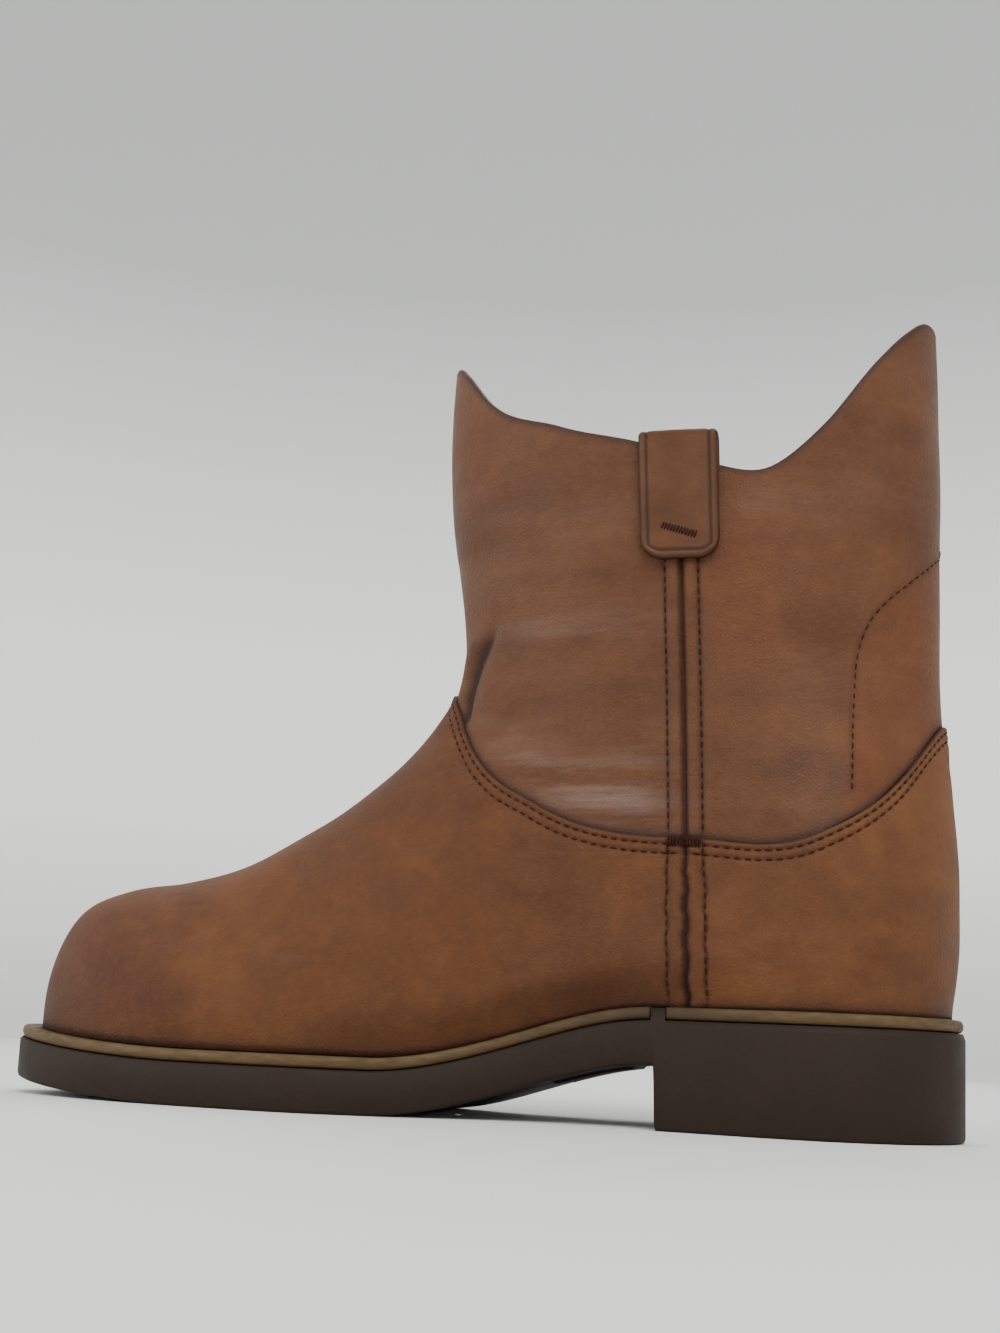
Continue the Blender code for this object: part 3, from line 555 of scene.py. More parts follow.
def ripple(x, y, z):
    """Slow unevenness of hand-lasted leather, a sum of a few waves, from -1 to 1."""
    return (
        np.sin(61 * x + 23 * z + 1.1) * np.sin(47 * z - 19 * x + 0.4)
        + 0.6 * np.sin(118 * x - 71 * z + 40 * y + 2.0) * np.sin(96 * z + 33 * y)
        + 0.35 * np.sin(205 * x + 160 * z + 90 * y + 0.7)
    ) / 1.95


def crease_depth(x, z, sign, sharp_only=False):
    """How far the creases press in: for each, a bell across its line, faded out at both ends."""
    total = 0 * x
    for crease in CREASES:
        if crease.side not in (0, sign) or (sharp_only and crease.width > 1):
            continue
        x0, z0 = crease.x0 * SOLE_LENGTH, crease.z0 * COLLAR_HEIGHT
        dx, dz = crease.x1 * SOLE_LENGTH - x0, crease.z1 * COLLAR_HEIGHT - z0
        length = math.hypot(dx, dz)
        along = ((x - x0) * dx + (z - z0) * dz) / length**2
        across = ((x - x0) * dz - (z - z0) * dx) / length
        bend = across - crease.bend * length * np.sin(math.pi * np.clip(along, 0, 1))
        ends = ease((along + 0.2) / 0.4) * ease((1.15 - along) / 0.3)
        total = total + crease.depth * UPPER_WALL * ends * bump(bend, crease.width * UPPER_WALL)
    return total


def seam_line(row):
    """How far the stitching beside the side seam lies from it: wider apart on the vamp."""
    return mix(SEAM_LINE_VAMP, SEAM_LINE_SHAFT, ease((row - 0.45) / 0.6))


def seam_wander(z):
    """The butted edges of the seam wander a little on the vamp."""
    return (0.00030 * np.sin(610 * z) + 0.00012 * np.sin(1700 * z + 1.0)) * ease((0.084 - z) / 0.012)


def patch_spots():
    """The spots of the back patch's edge in metres, from the lowest up."""
    return np.array(BACK_PATCH)[::-1] * (SOLE_LENGTH, COLLAR_HEIGHT)


def patch_distance(x, z):
    """Signed distance from the back patch's edge, above zero towards the front: the distance along x
    from the curve through its spots, lessened by the curve's slope."""
    spots = patch_spots()
    edge = smooth_curve(spots[:, 1], spots[:, 0], z)
    slope = (smooth_curve(spots[:, 1], spots[:, 0], z + 0.001) - edge) / 0.001
    return (x - edge) / np.sqrt(1 + slope**2), (z > spots[0, 1]) & (z < spots[-1, 1])


def relief(sizes, row, below_join, x, y, z, sign):
    """How far the outer face stands off the base: the vamp's thickness up to the join with its edge
    rounded, the two turned edges of each seam as ridges with a groove between them and a soft
    shoulder outside, the stitching lines drawn in, the back patch's edge, creases and unevenness."""
    offset = np.abs(x - seam_x(z) - seam_wander(z))
    line = seam_line(row)
    edge = np.clip(below_join / 0.0012, 0, 1)
    overlay = np.where(row <= 1, VAMP_OVERLAY * np.sqrt(np.clip(1 - (1 - edge) ** 2, 0, 1)), 0)
    shoulder = ease((SEAM_BAND + 0.0010 - offset) / 0.0030)
    flap = ease((line + 0.0005 - offset) / 0.0011)
    crown = bump(offset - line * 0.5, line * 0.30)
    groove = bump(offset, 0.00075)
    seam = SEAM_RAISE * (0.25 * shoulder + 0.45 * flap + 0.80 * crown)
    seam = seam - (SEAM_RAISE * 0.75 + sizes.groove_depth) * groove
    pull = bump(offset - line, 0.00065)
    rows = sum(bump(below_join - distance, 0.0007) for distance in JOIN_STITCHES) * (row <= 1)
    from_patch, beside = patch_distance(x, z)
    on_shaft = (row > 1) & beside
    patch = 0.35 * ease(from_patch / 0.0006 + 0.5) + 0.5 * bump(from_patch + PATCH_LINE, 0.0006)
    patch = np.where(on_shaft, -patch, 0) * sizes.stitch_sink
    uneven = sizes.unevenness * ripple(x, y, z) * ease((z - feather_height(x)) / 0.01)
    rise = overlay + seam + patch - sizes.stitch_sink * (pull + rows) - crease_depth(x, z, sign) + uneven
    return np.maximum(rise, LEAST_WALL - UPPER_WALL)


def column_shares(rows):
    """The shares at which the level lines are divided: crowded to the back and the front, and evenly
    and finely across the side seam."""
    x_back, _, x_front, _ = level_ends(rows)
    span = (x_front - x_back)[:, None]
    seam = seam_share(rows)[:, None]
    band = seam + np.linspace(-SEAM_SPAN, SEAM_SPAN, SEAM_COLUMNS)[None] / span
    back = band[:, :1] * (1 - np.cos(np.linspace(0, math.pi / 2, BACK_COLUMNS + 1)[:-1]))[None]
    front = mix(band[:, -1:], 1.0, np.sin(np.linspace(0, math.pi / 2, FRONT_COLUMNS + 1)[1:])[None])
    return np.concatenate([back, band, front], axis=1)


def upper_rings(rows):
    """The base surface as closed rings, one to a row, with each point's side and share."""
    shares = column_shares(rows)
    row = rows[:, None]
    there = base_point(row, shares, MEDIAL)
    back = base_point(row, shares, LATERAL)[:, -2:0:-1]
    there[:, [0, -1], 1] = centre_line(there[:, [0, -1], 0])
    points = np.concatenate([there, back], axis=1)
    signs = np.concatenate([np.ones(there.shape[1]), -np.ones(back.shape[1])])
    return points, signs


def outward(points):
    """Unit normals of a grid that is closed along its second axis, level at its first and last rows."""
    around = np.roll(points, -1, axis=1) - np.roll(points, 1, axis=1)
    up = np.gradient(points, axis=0)
    normals = np.cross(up, around)
    normals[[0, -1], :, 2] = 0
    return normals / np.linalg.norm(normals, axis=2, keepdims=True)


def grid_faces(rows, columns, closed, start=0):
    """Quads of a grid of points, row by row."""
    i, j = np.meshgrid(np.arange(rows - 1), np.arange(columns if closed else columns - 1), indexing="ij")
    k = (j + 1) % columns
    quads = np.stack([i * columns + j, i * columns + k, (i + 1) * columns + k, (i + 1) * columns + j], -1)
    return start + quads.reshape(-1, 4)


def build_mesh(name, points, quads, material, marks=None, extra_faces=()):
    """A mesh object from arrays, moved from the heel's back to the boot's origin, shaded smooth."""
    points = np.asarray(points, float).reshape(-1, 3) - np.array([HEEL_LENGTH / 2, 0, 0])
    quads = np.asarray(quads, int).reshape(-1, 4)
    mesh = bpy.data.meshes.new(name)
    extra = [list(map(int, face)) for face in extra_faces]
    loops = len(quads) * 4 + sum(map(len, extra))
    mesh.vertices.add(len(points))
    mesh.vertices.foreach_set("co", points.astype(np.float32).ravel())
    mesh.loops.add(loops)
    flat = np.concatenate([quads.ravel()] + [np.array(face) for face in extra]) if extra else quads.ravel()
    mesh.loops.foreach_set("vertex_index", flat.astype(np.int32))
    counts = np.concatenate([np.full(len(quads), 4), [len(face) for face in extra]]).astype(np.int32)
    starts = np.concatenate([[0], np.cumsum(counts)[:-1]]).astype(np.int32)
    mesh.polygons.add(len(counts))
    mesh.polygons.foreach_set("loop_start", starts)
    mesh.polygons.foreach_set("use_smooth", np.ones(len(counts), bool))
    mesh.update(calc_edges=True)
    mesh.validate()
    if marks is not None:
        layer = mesh.color_attributes.new("marks", "FLOAT_COLOR", "POINT")
        marks = np.asarray(marks)
        colours = np.ones((len(points), 4), np.float32)
        colours[:, : marks.shape[-1]] = marks.reshape(len(points), -1)
        layer.data.foreach_set("color", colours.ravel())
    mesh.materials.append(material)
    made = bpy.data.objects.new(name, mesh)
    bpy.context.scene.collection.objects.link(made)
    return made


def ringed(name, rings, material, marks=None, turned=False):
    """A closed piece from lines of points that run side by side: each row of the grid goes once round
    the piece, and both ends are capped. It is turned inside out where the lines run the other way."""
    grid = np.stack(rings, axis=1)
    rows, columns = grid.shape[:2]
    quads = grid_faces(rows, columns, closed=True)
    caps = [tuple(range(columns))[::-1], tuple((rows - 1) * columns + np.arange(columns))]
    if turned:
        quads, caps = quads[:, ::-1], [cap[::-1] for cap in caps]
    marks = np.stack(marks, axis=1) if marks else None
    return build_mesh(name, grid, quads, material, marks, caps)


def place(piece, slot, *nodes):
    """The piece rides with the boot and stands for its nodes, which are hidden; slot is not used."""
    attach(piece, "root")
    if nodes:
        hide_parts(*nodes)
    return piece


class Finish:
    """A material whose nodes are added one after another."""

    def __init__(self, name, roughness=0.6, specular=0.4):
        self.material = bpy.data.materials.new(name)
        self.material.use_nodes = True
        self.tree = self.material.node_tree
        self.shader = self.tree.nodes["Principled BSDF"]
        self.shader.inputs["Roughness"].default_value = roughness
        self.shader.inputs["Specular IOR Level"].default_value = specular
        self.coords = self.tree.nodes.new("ShaderNodeTexCoord").outputs["Object"]

    def node(self, kind, settings=None, **inputs):
        made = self.tree.nodes.new(kind)
        for key, value in (settings or {}).items():
            setattr(made, key, value)
        for key, value in inputs.items():
            socket = made.inputs[int(key[1:])] if key[0] == "i" and key[1:].isdigit() else made.inputs[key]
            if isinstance(value, bpy.types.NodeSocket):
                self.tree.links.new(value, socket)
            else:
                socket.default_value = value
        return made

    def noise(self, scale, detail=4.0, roughness=0.55, stretch=(1, 1, 1)):
        """Cloudy noise with features about 1/scale metres across."""
        mapping = self.node("ShaderNodeMapping", Vector=self.coords, Scale=stretch)
        made = self.node(
            "ShaderNodeTexNoise", Vector=mapping.outputs[0], Scale=scale, Detail=detail, Roughness=roughness
        )
        return made.outputs["Fac"]

    def cells(self, scale):
        """Distance to the edges of small cells about 1/scale metres across."""
        settings = {"feature": "DISTANCE_TO_EDGE"}
        made = self.node("ShaderNodeTexVoronoi", settings, Vector=self.coords, Scale=scale)
        return made.outputs["Distance"]

    def ranged(self, value, low, high, to_low=0.0, to_high=1.0):
        """A straight-line change of range, held to its ends."""
        made = self.node("ShaderNodeMapRange", {"clamp": True}, Value=value)
        for key, number in (("From Min", low), ("From Max", high), ("To Min", to_low), ("To Max", to_high)):
            made.inputs[key].default_value = number
        return made.outputs[0]

    def maths(self, operation, a, b):
        return self.node("ShaderNodeMath", {"operation": operation}, i0=a, i1=b).outputs[0]

    def blend(self, a, b, factor, mode="MIX"):
        made = self.node("ShaderNodeMix", {"data_type": "RGBA", "blend_type": mode, "clamp_factor": True})
        for socket, value in ((made.inputs[0], factor), (made.inputs[6], a), (made.inputs[7], b)):
            if isinstance(value, bpy.types.NodeSocket):
                self.tree.links.new(value, socket)
            else:
                socket.default_value = value
        return made.outputs[2]

    def marks(self):
        """The four channels of the piece's own colour marks."""
        layer = self.node("ShaderNodeAttribute", {"attribute_name": "marks"})
        parts = self.node("ShaderNodeSeparateColor", Color=layer.outputs["Color"])
        return (*parts.outputs, layer.outputs["Alpha"])

    def finish(self, colour, roughness=None, height=None, bump_depth=0.0002, strength=1.0):
        self.tree.links.new(colour, self.shader.inputs["Base Color"])
        if roughness is not None:
            self.tree.links.new(roughness, self.shader.inputs["Roughness"])
        if height is not None:
            made = self.node("ShaderNodeBump", Height=height, Strength=strength, Distance=bump_depth)
            self.tree.links.new(made.outputs[0], self.shader.inputs["Normal"])
        return self.material


def rgba(colour, scale=1.0):
    """A colour made lighter or darker by a factor, with full alpha."""
    return (*[c * scale for c in colour[:3]], 1.0)


def leather_finish(looks):
    """Oiled leather. Each colour is a mix of two browns by clouds of several sizes; the vamp is matt
    and paler towards the heel, with dark patches, the shaft smoother with long faint streaks, rust
    where it was rubbed, pale scuffs, and painted sheen, pale highlights broken into streaks; cut edges are
    dark, and the same dark is painted shade in grooves, stitched lines, sharp creases, along the join and
    the feather line. Fine nap and pores are bump."""
    made = Finish("upper_leather", roughness=0.6, specular=0.20)
    shaft, edge, pale_sheen, rust = made.marks()
    along = made.node("ShaderNodeSeparateXYZ", Vector=made.coords).outputs[0]
    clouds = made.ranged(made.noise(19, 8, 0.66), 0.38, 0.62)
    patches = made.ranged(made.noise(13, 6, 0.64, (0.7, 1.0, 1.5)), 0.50, 0.66)
    small = made.ranged(made.noise(85, 6, 0.66), 0.36, 0.68)
    specks = made.ranged(made.noise(420, 3, 0.6), 0.42, 0.72)
    paler = made.ranged(along, -0.03, 0.10, 0.35, -0.10)
    paler = made.maths("ADD", made.maths("MULTIPLY", clouds, 0.75), paler)
    vamp = made.blend(rgba(looks.vamp_dark), rgba(looks.vamp_light), paler)
    vamp = made.blend(vamp, rgba(looks.patch), made.maths("MULTIPLY", patches, 0.80))
    streaks = made.ranged(made.noise(26, 6, 0.60, (0.55, 0.55, 1.9)), 0.30, 0.70)
    upper = made.blend(rgba(looks.shaft_dark), rgba(looks.shaft_light), streaks)
    rusty = made.maths("MULTIPLY", rust, made.ranged(made.noise(32, 5, 0.6), 0.25, 0.6))
    upper = made.blend(upper, rgba(looks.rust), rusty)
    colour = made.blend(vamp, upper, shaft)
    colour = made.blend(colour, rgba(looks.patch, 0.8), made.maths("MULTIPLY", small, 0.36))
    colour = made.blend(colour, rgba(looks.vamp_light, 1.3), made.maths("MULTIPLY", specks, 0.12))
    scuffs = made.ranged(made.noise(55, 8, 0.75, (0.30, 0.30, 3.4)), 0.57, 0.72)
    sheen_breakup = made.ranged(made.noise(38, 9, 0.72, (0.30, 0.30, 3.0)), 0.46, 0.64)
    sheen_streaks = made.maths("MULTIPLY", pale_sheen, sheen_breakup)
    colour = made.blend(colour, rgba(looks.pale_sheen, 0.7), made.maths("MULTIPLY", scuffs, 0.09))
    # Painted sheen: pale highlights laid into the colour, broken into streaks.
    colour = made.blend(colour, rgba(looks.pale_sheen), made.maths("MULTIPLY", sheen_streaks, 0.42))
    # Dark cut edges, and painted shade in grooves, stitched lines, creases, the join and the feather line.
    colour = made.blend(colour, rgba(looks.edge), edge)
    rough = made.maths("ADD", clouds, made.maths("MULTIPLY", shaft, -0.9))
    rough = made.ranged(rough, -0.9, 1.0, 0.48, 0.82)
    rough = made.maths("SUBTRACT", rough, made.maths("MULTIPLY", sheen_streaks, 0.25))
    pores = made.ranged(made.cells(820), 0.0, 0.35)
    nap = made.maths("MULTIPLY", made.noise(1500, 3, 0.65), made.ranged(shaft, 0, 1, 1.1, 0.35))
    grain = made.maths("ADD", made.maths("MULTIPLY", pores, 0.35), nap)
    grain = made.maths("ADD", grain, made.maths("MULTIPLY", made.noise(240, 5, 0.62), 1.1))
    grain = made.maths("ADD", grain, made.maths("MULTIPLY", scuffs, -0.5))
    made.shader.inputs["Sheen Weight"].default_value = 0.03
    made.shader.inputs["Sheen Roughness"].default_value = 0.5
    return made.finish(colour, rough, grain, bump_depth=0.00042, strength=0.60)


def lining_finish(looks):
    """Pale woven lining, darker in clouds."""
    made = Finish("lining", roughness=0.85, specular=0.2)
    weave = made.noise(700, 2, 0.5)
    clouds = made.ranged(made.noise(40, 5), 0.35, 0.7)
    colour = made.blend(rgba(looks.lining), rgba(looks.lining, 0.62), clouds)
    return made.finish(colour, None, weave, 0.0003, 0.5)


def rubber_finish(looks):
    """Moulded rubber: near black-brown, a little dusty and paler in clouds, finely pitted. The underside
    takes a darker copy of the side's colour as painted shade, darker still in the tread's recesses.
    """
    made = Finish("sole_rubber", roughness=0.62, specular=0.15)
    side, low, _, _ = made.marks()
    dust = made.ranged(made.noise(60, 6, 0.65), 0.35, 0.75)
    # Painted shade: the underside is darker than the side, and the tread's recesses darker still.
    colour = made.blend(rgba(looks.tread), rgba(looks.rubber), side)
    colour = made.blend(colour, rgba(looks.rubber, 1.5), made.maths("MULTIPLY", dust, 0.45))
    colour = made.blend(colour, rgba(looks.tread, 0.6), made.maths("MULTIPLY", low, 0.7))
    rough = made.ranged(dust, 0.0, 1.0, 0.55, 0.74)
    return made.finish(colour, rough, made.noise(900, 3, 0.6), 0.00025, 0.5)


def welt_finish(looks):
    """Tan fibres, darker and nearer the rubber's colour towards the breast."""
    made = Finish("welt", roughness=0.6, specular=0.22)
    fade = made.marks()[0]
    fibres = made.ranged(made.noise(170, 4, 0.6, (1, 1, 4)), 0.3, 0.7)
    colour = made.blend(rgba(looks.welt), rgba(looks.welt, 0.6), fibres)
    colour = made.blend(colour, rgba(looks.rubber, 1.3), made.maths("MULTIPLY", fade, 0.75))
    return made.finish(colour, made.ranged(fibres, 0, 1, 0.5, 0.75), made.noise(600, 3), 0.0002, 0.5)


def thread_finish(looks):
    """Dark brown thread with a fine twist."""
    made = Finish("thread", roughness=0.8, specular=0.10)
    twist = made.ranged(made.noise(900, 2, 0.5), 0.3, 0.7)
    colour = made.blend(rgba(looks.thread), rgba(looks.thread, 0.55), twist)
    return made.finish(colour, None, twist, 0.0002, 0.6)


def upper_marks(row, below_join, x, y, z):
    """Colour marks of the outer face. Red: shaft or vamp, with the back patch between them. Green: dark cut
    edges, and painted shade in the seam's groove, along stitched lines, at the join, along the feather line
    and in sharp creases. Blue: where painted sheen lies. Alpha: rust."""
    line = seam_line(row)
    offset = np.abs(x - seam_x(z) - seam_wander(z))
    ragged = 0.0007 + 0.0008 * ease((0.080 - z) / 0.02) * (0.6 + 0.4 * np.sin(1300 * z) * np.sin(530 * z))
    from_patch, beside = patch_distance(x, z)
    in_patch = (row > 1) * ease(0.5 - from_patch / 0.002) * (beside | (from_patch < 0))
    shaft = (row > 1) * (1 - 0.25 * in_patch)
    # The seam's butted cut edges are dark, and its groove is darkened as painted shade; painted shade also
    # along its sunk stitch lines.
    edge = 0.95 * bump(offset, ragged)
    edge = np.maximum(edge, 0.70 * bump(offset - line, 0.0006))
    # Painted shade on the shaft along the join, beside the vamp's edge; the vamp's own cut edge is dark
    # leather.
    join_shade, vamp_edge = 0.9 * bump((row - 1) * 0.1, 0.0016), 0.8 * bump(below_join, 0.0005)
    edge = np.maximum(edge, np.where(row > 1, join_shade, vamp_edge))
    # Painted shade along the sunk stitch lines below the join.
    for distance in JOIN_STITCHES:
        edge = np.maximum(edge, 0.35 * bump(below_join - distance, 0.0007) * (row <= 1))
    edge = np.maximum(edge, 0.9 * bump((2 - row) * 0.1, 0.0012))
    # Painted shade where the upper meets the welt.
    edge = np.maximum(edge, 0.55 * bump(z - feather_height(x), 0.0030))
    # Painted shade along the back patch's sunk stitch line.
    edge = np.maximum(edge, np.where((row > 1) & beside, 0.40 * bump(from_patch + 0.0012, 0.0008), 0))
    # Painted shade in the sharp creases, which are also pressed into the surface.
    crease = 0
    for sign in (1, -1):
        crease = np.where(np.sign(y) == sign, crease_depth(x, z, sign, sharp_only=True) / 0.0017, crease)
    edge = np.maximum(edge, 0.95 * np.clip(crease, 0, 1) ** 1.4)
    above = (row - 1) * 0.12
    # Painted sheen: pale highlights at the listed spots on the shaft.
    pale_sheen = 0 * x
    for spot in SHEEN_SPOTS:
        up = (z if spot.over_floor else above) - spot.up
        pale_sheen = pale_sheen + spot.strength * bump(x - spot.x, spot.x_reach) * bump(up, spot.up_reach)
    rust = 0.55 * bump(x - 0.155, 0.014) * ease((z - 0.16) / 0.05) + 0.5 * in_patch
    rust = rust + 0.45 * bump(x - 0.064, 0.012) * bump(z - 0.160, 0.022)
    pale_sheen = np.clip((row > 1) * pale_sheen, 0, 1)
    return np.stack([shaft, np.clip(edge, 0, 1), pale_sheen, (row > 1) * rust], axis=-1)


def make_upper(sizes, leather, lining):
    """The hollow upper: an outer grid that stands off the base surface along its normals by the
    relief, an inner grid one wall in, and the two rims. The level lines meet at the join twice, once
    on the vamp's edge and once on the shaft below it."""
    spread = 1 - (1 - np.linspace(0, 1, VAMP_ROWS)[:-8]) ** VAMP_CROWDING
    vamp = np.concatenate([spread * (1 - VAMP_EDGE_START) / spread[-1], 1 - np.array(VAMP_EDGE_ROWS)])
    shaft = np.concatenate([[1.0000001], np.linspace(1.004, 1.992, SHAFT_ROWS - 3), [1.997, 2.0]])
    rows = np.concatenate([vamp, shaft])
    points, signs = upper_rings(rows)
    normals = outward(np.delete(points, len(vamp), axis=0))
    normals = np.insert(normals, len(vamp), normals[len(vamp) - 1], axis=0)
    x, y, z = np.moveaxis(points, -1, 0)
    row = rows[:, None] + 0 * x
    lengths = np.linalg.norm(np.diff(points[: len(vamp)], axis=0), axis=2)
    below = np.concatenate([np.cumsum(lengths[::-1], axis=0)[::-1], 0 * x[:1]])
    below = np.concatenate([below, 0 * x[len(vamp) :]])
    rise = np.zeros_like(x)
    for sign in (1, -1):
        at = signs == sign
        rise[:, at] = relief(sizes, row[:, at], below[:, at], x[:, at], y[:, at], z[:, at], sign)
    rise[[-1, -2]] -= np.array(COLLAR_ROUNDS)[:, None]
    outer = points + normals * rise[..., None]
    inner_rows = np.linspace(2.0, 0.0, INNER_ROWS)
    inner_base, _ = upper_rings(inner_rows)
    inner_out = outward(inner_base[::-1])[::-1]
    inner = inner_base - inner_out * UPPER_WALL
    inner[0] += inner_out[0] * COLLAR_ROUND_INSIDE
    columns = points.shape[1]
    grid = np.concatenate([outer, inner])
    quads = grid_faces(len(grid), columns, closed=True)
    first, last = np.arange(columns), (len(grid) - 1) * columns + np.arange(columns)
    rim = np.stack([last, np.roll(last, -1), np.roll(first, -1), first], axis=1)
    marks = upper_marks(row, below, x, y, z)
    marks = np.concatenate([marks, np.zeros(inner.shape[:2] + (4,))])
    piece = build_mesh("upper_shell", grid, np.concatenate([quads, rim])[:, ::-1], leather, marks)
    piece.data.materials.append(lining)
    slots = np.zeros(len(quads) + len(rim), np.int32)
    slots[(len(outer)) * columns :] = 1
    piece.data.polygons.foreach_set("material_index", slots)
    return place(piece, "upper_leather", "upper")


def stitch_template(segments=7, sides=6):
    """One stitch: a thread that rises from the leather and dips back into it, as rings along x."""
    along = np.linspace(-0.5, 0.5, segments)
    arch = 1 - (2 * along) ** 2
    turn = np.linspace(0, 2 * math.pi, sides, endpoint=False)
    thick = np.sqrt(np.clip(0.25 + 0.75 * arch, 0, 1))
    ring = np.stack([0 * turn, np.cos(turn), np.sin(turn)], axis=1)
    points = np.zeros((segments, sides, 3))
    points[..., 0] = along[:, None]
    points[..., 1] = ring[None, :, 1] * thick[:, None]
    points[..., 2] = ring[None, :, 2] * thick[:, None] + 0.9 * arch[:, None] - 0.7
    quads = grid_faces(segments, sides, closed=True)
    caps = [tuple(range(sides))[::-1], tuple((segments - 1) * sides + np.arange(sides))]
    return points.reshape(-1, 3), quads, caps


def stitch_row(positions, normals, pitch, length, thread, slant):
    """Stitches set at even steps along a path, each lying along it and standing on the normal."""
    steps = np.linalg.norm(np.diff(positions, axis=0), axis=1)
    cumulative = np.concatenate([[0], np.cumsum(steps)])
    count = max(int(cumulative[-1] / pitch), 1)
    at = (np.arange(count) + 0.5) * cumulative[-1] / count

    def sample(values, where):
        return np.stack([np.interp(where, cumulative, values[:, k]) for k in range(3)], axis=1)

    centre = sample(positions, at)
    forward = sample(positions, at + length / 2) - sample(positions, at - length / 2)
    forward /= np.linalg.norm(forward, axis=1, keepdims=True)
    up = sample(normals, at)
    up /= np.linalg.norm(up, axis=1, keepdims=True)
    across = np.cross(up, forward)
    across /= np.linalg.norm(across, axis=1, keepdims=True)
    forward = forward * math.cos(slant) + across * math.sin(slant)
    across = np.cross(up, forward)
    template, quads, caps = stitch_template()
    points = (
        centre[:, None]
        + template[None, :, :1] * length * forward[:, None]
        + template[None, :, 1:2] * thread / 2 * across[:, None]
        + template[None, :, 2:] * thread / 2 * up[:, None]
    )
    n = len(template)
    shift = (np.arange(count) * n)[:, None, None]
    all_quads = (quads[None] + shift).reshape(-1, 4)
    all_caps = [tuple(np.array(cap) + i * n) for i in range(count) for cap in caps]
    return points.reshape(-1, 3), all_quads, all_caps


def join_rows(name, rows_of_stitches, material):
    """Several stitched rows as one piece."""
    points, quads, caps, start = [], [], [], 0
    for p, q, c in rows_of_stitches:
        points.append(p)
        quads.append(q + start)
        caps += [tuple(int(v) + start for v in cap) for cap in c]
        start += len(p)
    return build_mesh(name, np.concatenate(points), np.concatenate(quads), material, extra_faces=caps)


def along_join(sizes, distance, side):
    """A path on the vamp at a distance below the join's edge, measured down the upper's own columns,
    from back to front."""
    rows = np.linspace(1.0, 0.6, 81)
    shares = column_shares(rows)[:, 1:-1]
    points = base_point(rows[:, None], shares, side)
    fallen = np.cumsum(np.linalg.norm(np.diff(points, axis=0), axis=2), axis=0)
    fallen = np.concatenate([0 * fallen[:1], fallen])
    columns = np.arange(shares.shape[1])
    past = np.argmax(fallen > distance, axis=0)
    part = (distance - fallen[past - 1, columns]) / (fallen[past, columns] - fallen[past - 1, columns])
    row = mix(rows[past - 1], rows[past], part)
    share = mix(shares[past - 1, columns], shares[past, columns], part)
    point, normal, _ = base_frame(row, share, side)
    rise = relief(sizes, row, distance, *point.T, side.sign)
    return point + normal * rise[:, None], normal


def along_seam(sizes, offset, side, low, high):
    """A path up the side seam between two rows, on its stitching line on one side of it."""
    row = np.linspace(low, high, 260)
    x_back, _, x_front, _ = level_ends(row)
    share = seam_share(row) + offset * seam_line(row) / (x_front - x_back)
    point, normal, _ = base_frame(row, share, side)
    rise = relief(sizes, row, 0.02, *point.T, side.sign)
    return point + normal * rise[:, None], normal


def on_side(sizes, x, z, side, row, out=0.0):
    """Points of the upper's outer face over places on the side view, with its normals there."""
    step = 0.0004
    width = upper_half_width(x, z, side)
    slope_x = (upper_half_width(x + step, z, side) - width) / step
    slope_z = (upper_half_width(x, z + step, side) - width) / step
    normal = np.stack([-slope_x, side.sign + 0 * x, -slope_z], axis=-1)
    normal /= np.linalg.norm(normal, axis=-1, keepdims=True)
    point = np.stack([x, centre_line(x) + side.sign * width, z], axis=-1)
    rise = relief(sizes, row + 0 * x, 0.02, *point.T, side.sign) + out
    return point + normal * rise[..., None], normal


def along_patch(sizes, side, inwards):
    """A path up the edge of the back patch and over its arch to the back of the boot."""
    spots = patch_spots()
    z = mix(spots[0, 1], spots[-1, 1], 1 - np.linspace(1, 0, 220) ** 1.6)
    x = np.maximum(smooth_curve(spots[:, 1], spots[:, 0], z) - inwards, back_line(z) + 0.00005)
    return on_side(sizes, x, z, side, 1.5)


def make_stitching(sizes, thread):
    """The rows along the join, beside both side seams and along the back patch, the bar tacks across
    the seams at the join, and those on the straps."""
    rows = []

    def sew(path, normal, pitch=sizes.pitch, length=sizes.stitch, thick=sizes.thread, slant=0.0):
        rows.append(stitch_row(path, normal, pitch, length, thick, slant))

    for side in (MEDIAL, LATERAL):
        for distance in JOIN_STITCHES:
            path, normal = along_join(sizes, distance, side)
            for sign in (-1, 1):
                keep = sign * (path[:, 0] - seam_x(path[:, 2])) > 0.0016
                sew(path[keep], normal[keep])
        for sign in (-1, 1):
            for low, high in SEWN_ROWS:
                sew(*along_seam(sizes, sign, side, low, high))
        sew(*along_patch(sizes, side, PATCH_LINE), thick=sizes.thread * 0.85)
        at = np.linspace(-1, 1, 30)
        x = JOIN_TACK_X + JOIN_TACK_HALF * at
        for drop in JOIN_TACK_DROPS:
            path, normal = on_side(sizes, x, level_height(1.0, x) - drop, side, 0.9, out=GAP)
            sew(path, normal, sizes.pitch * TACK_PITCH, slant=1.35)
        x = seam_x(STRAP_TACK_Z) + STRAP_TACK_HALF * at
        path, normal = on_side(sizes, x, STRAP_TACK_Z + STRAP_TACK_RISE * at, side, 1.5)
        out = STRAP_OUT + STRAP_THICKNESS - 0.0001
        path[:, 1] = side.sign * (upper_half_width(x, path[:, 2], side) + out)
        sew(path, normal, sizes.pitch * TACK_PITCH, slant=1.45)
    return place(join_rows("stitching", rows, thread), "strap_leather")


def sole_stations(count):
    """Shares along the sole, even in the middle and crowded to both ends."""
    t = np.linspace(0, 1, count)
    return mix(t, (1 - np.cos(math.pi * t)) / 2, 0.85)


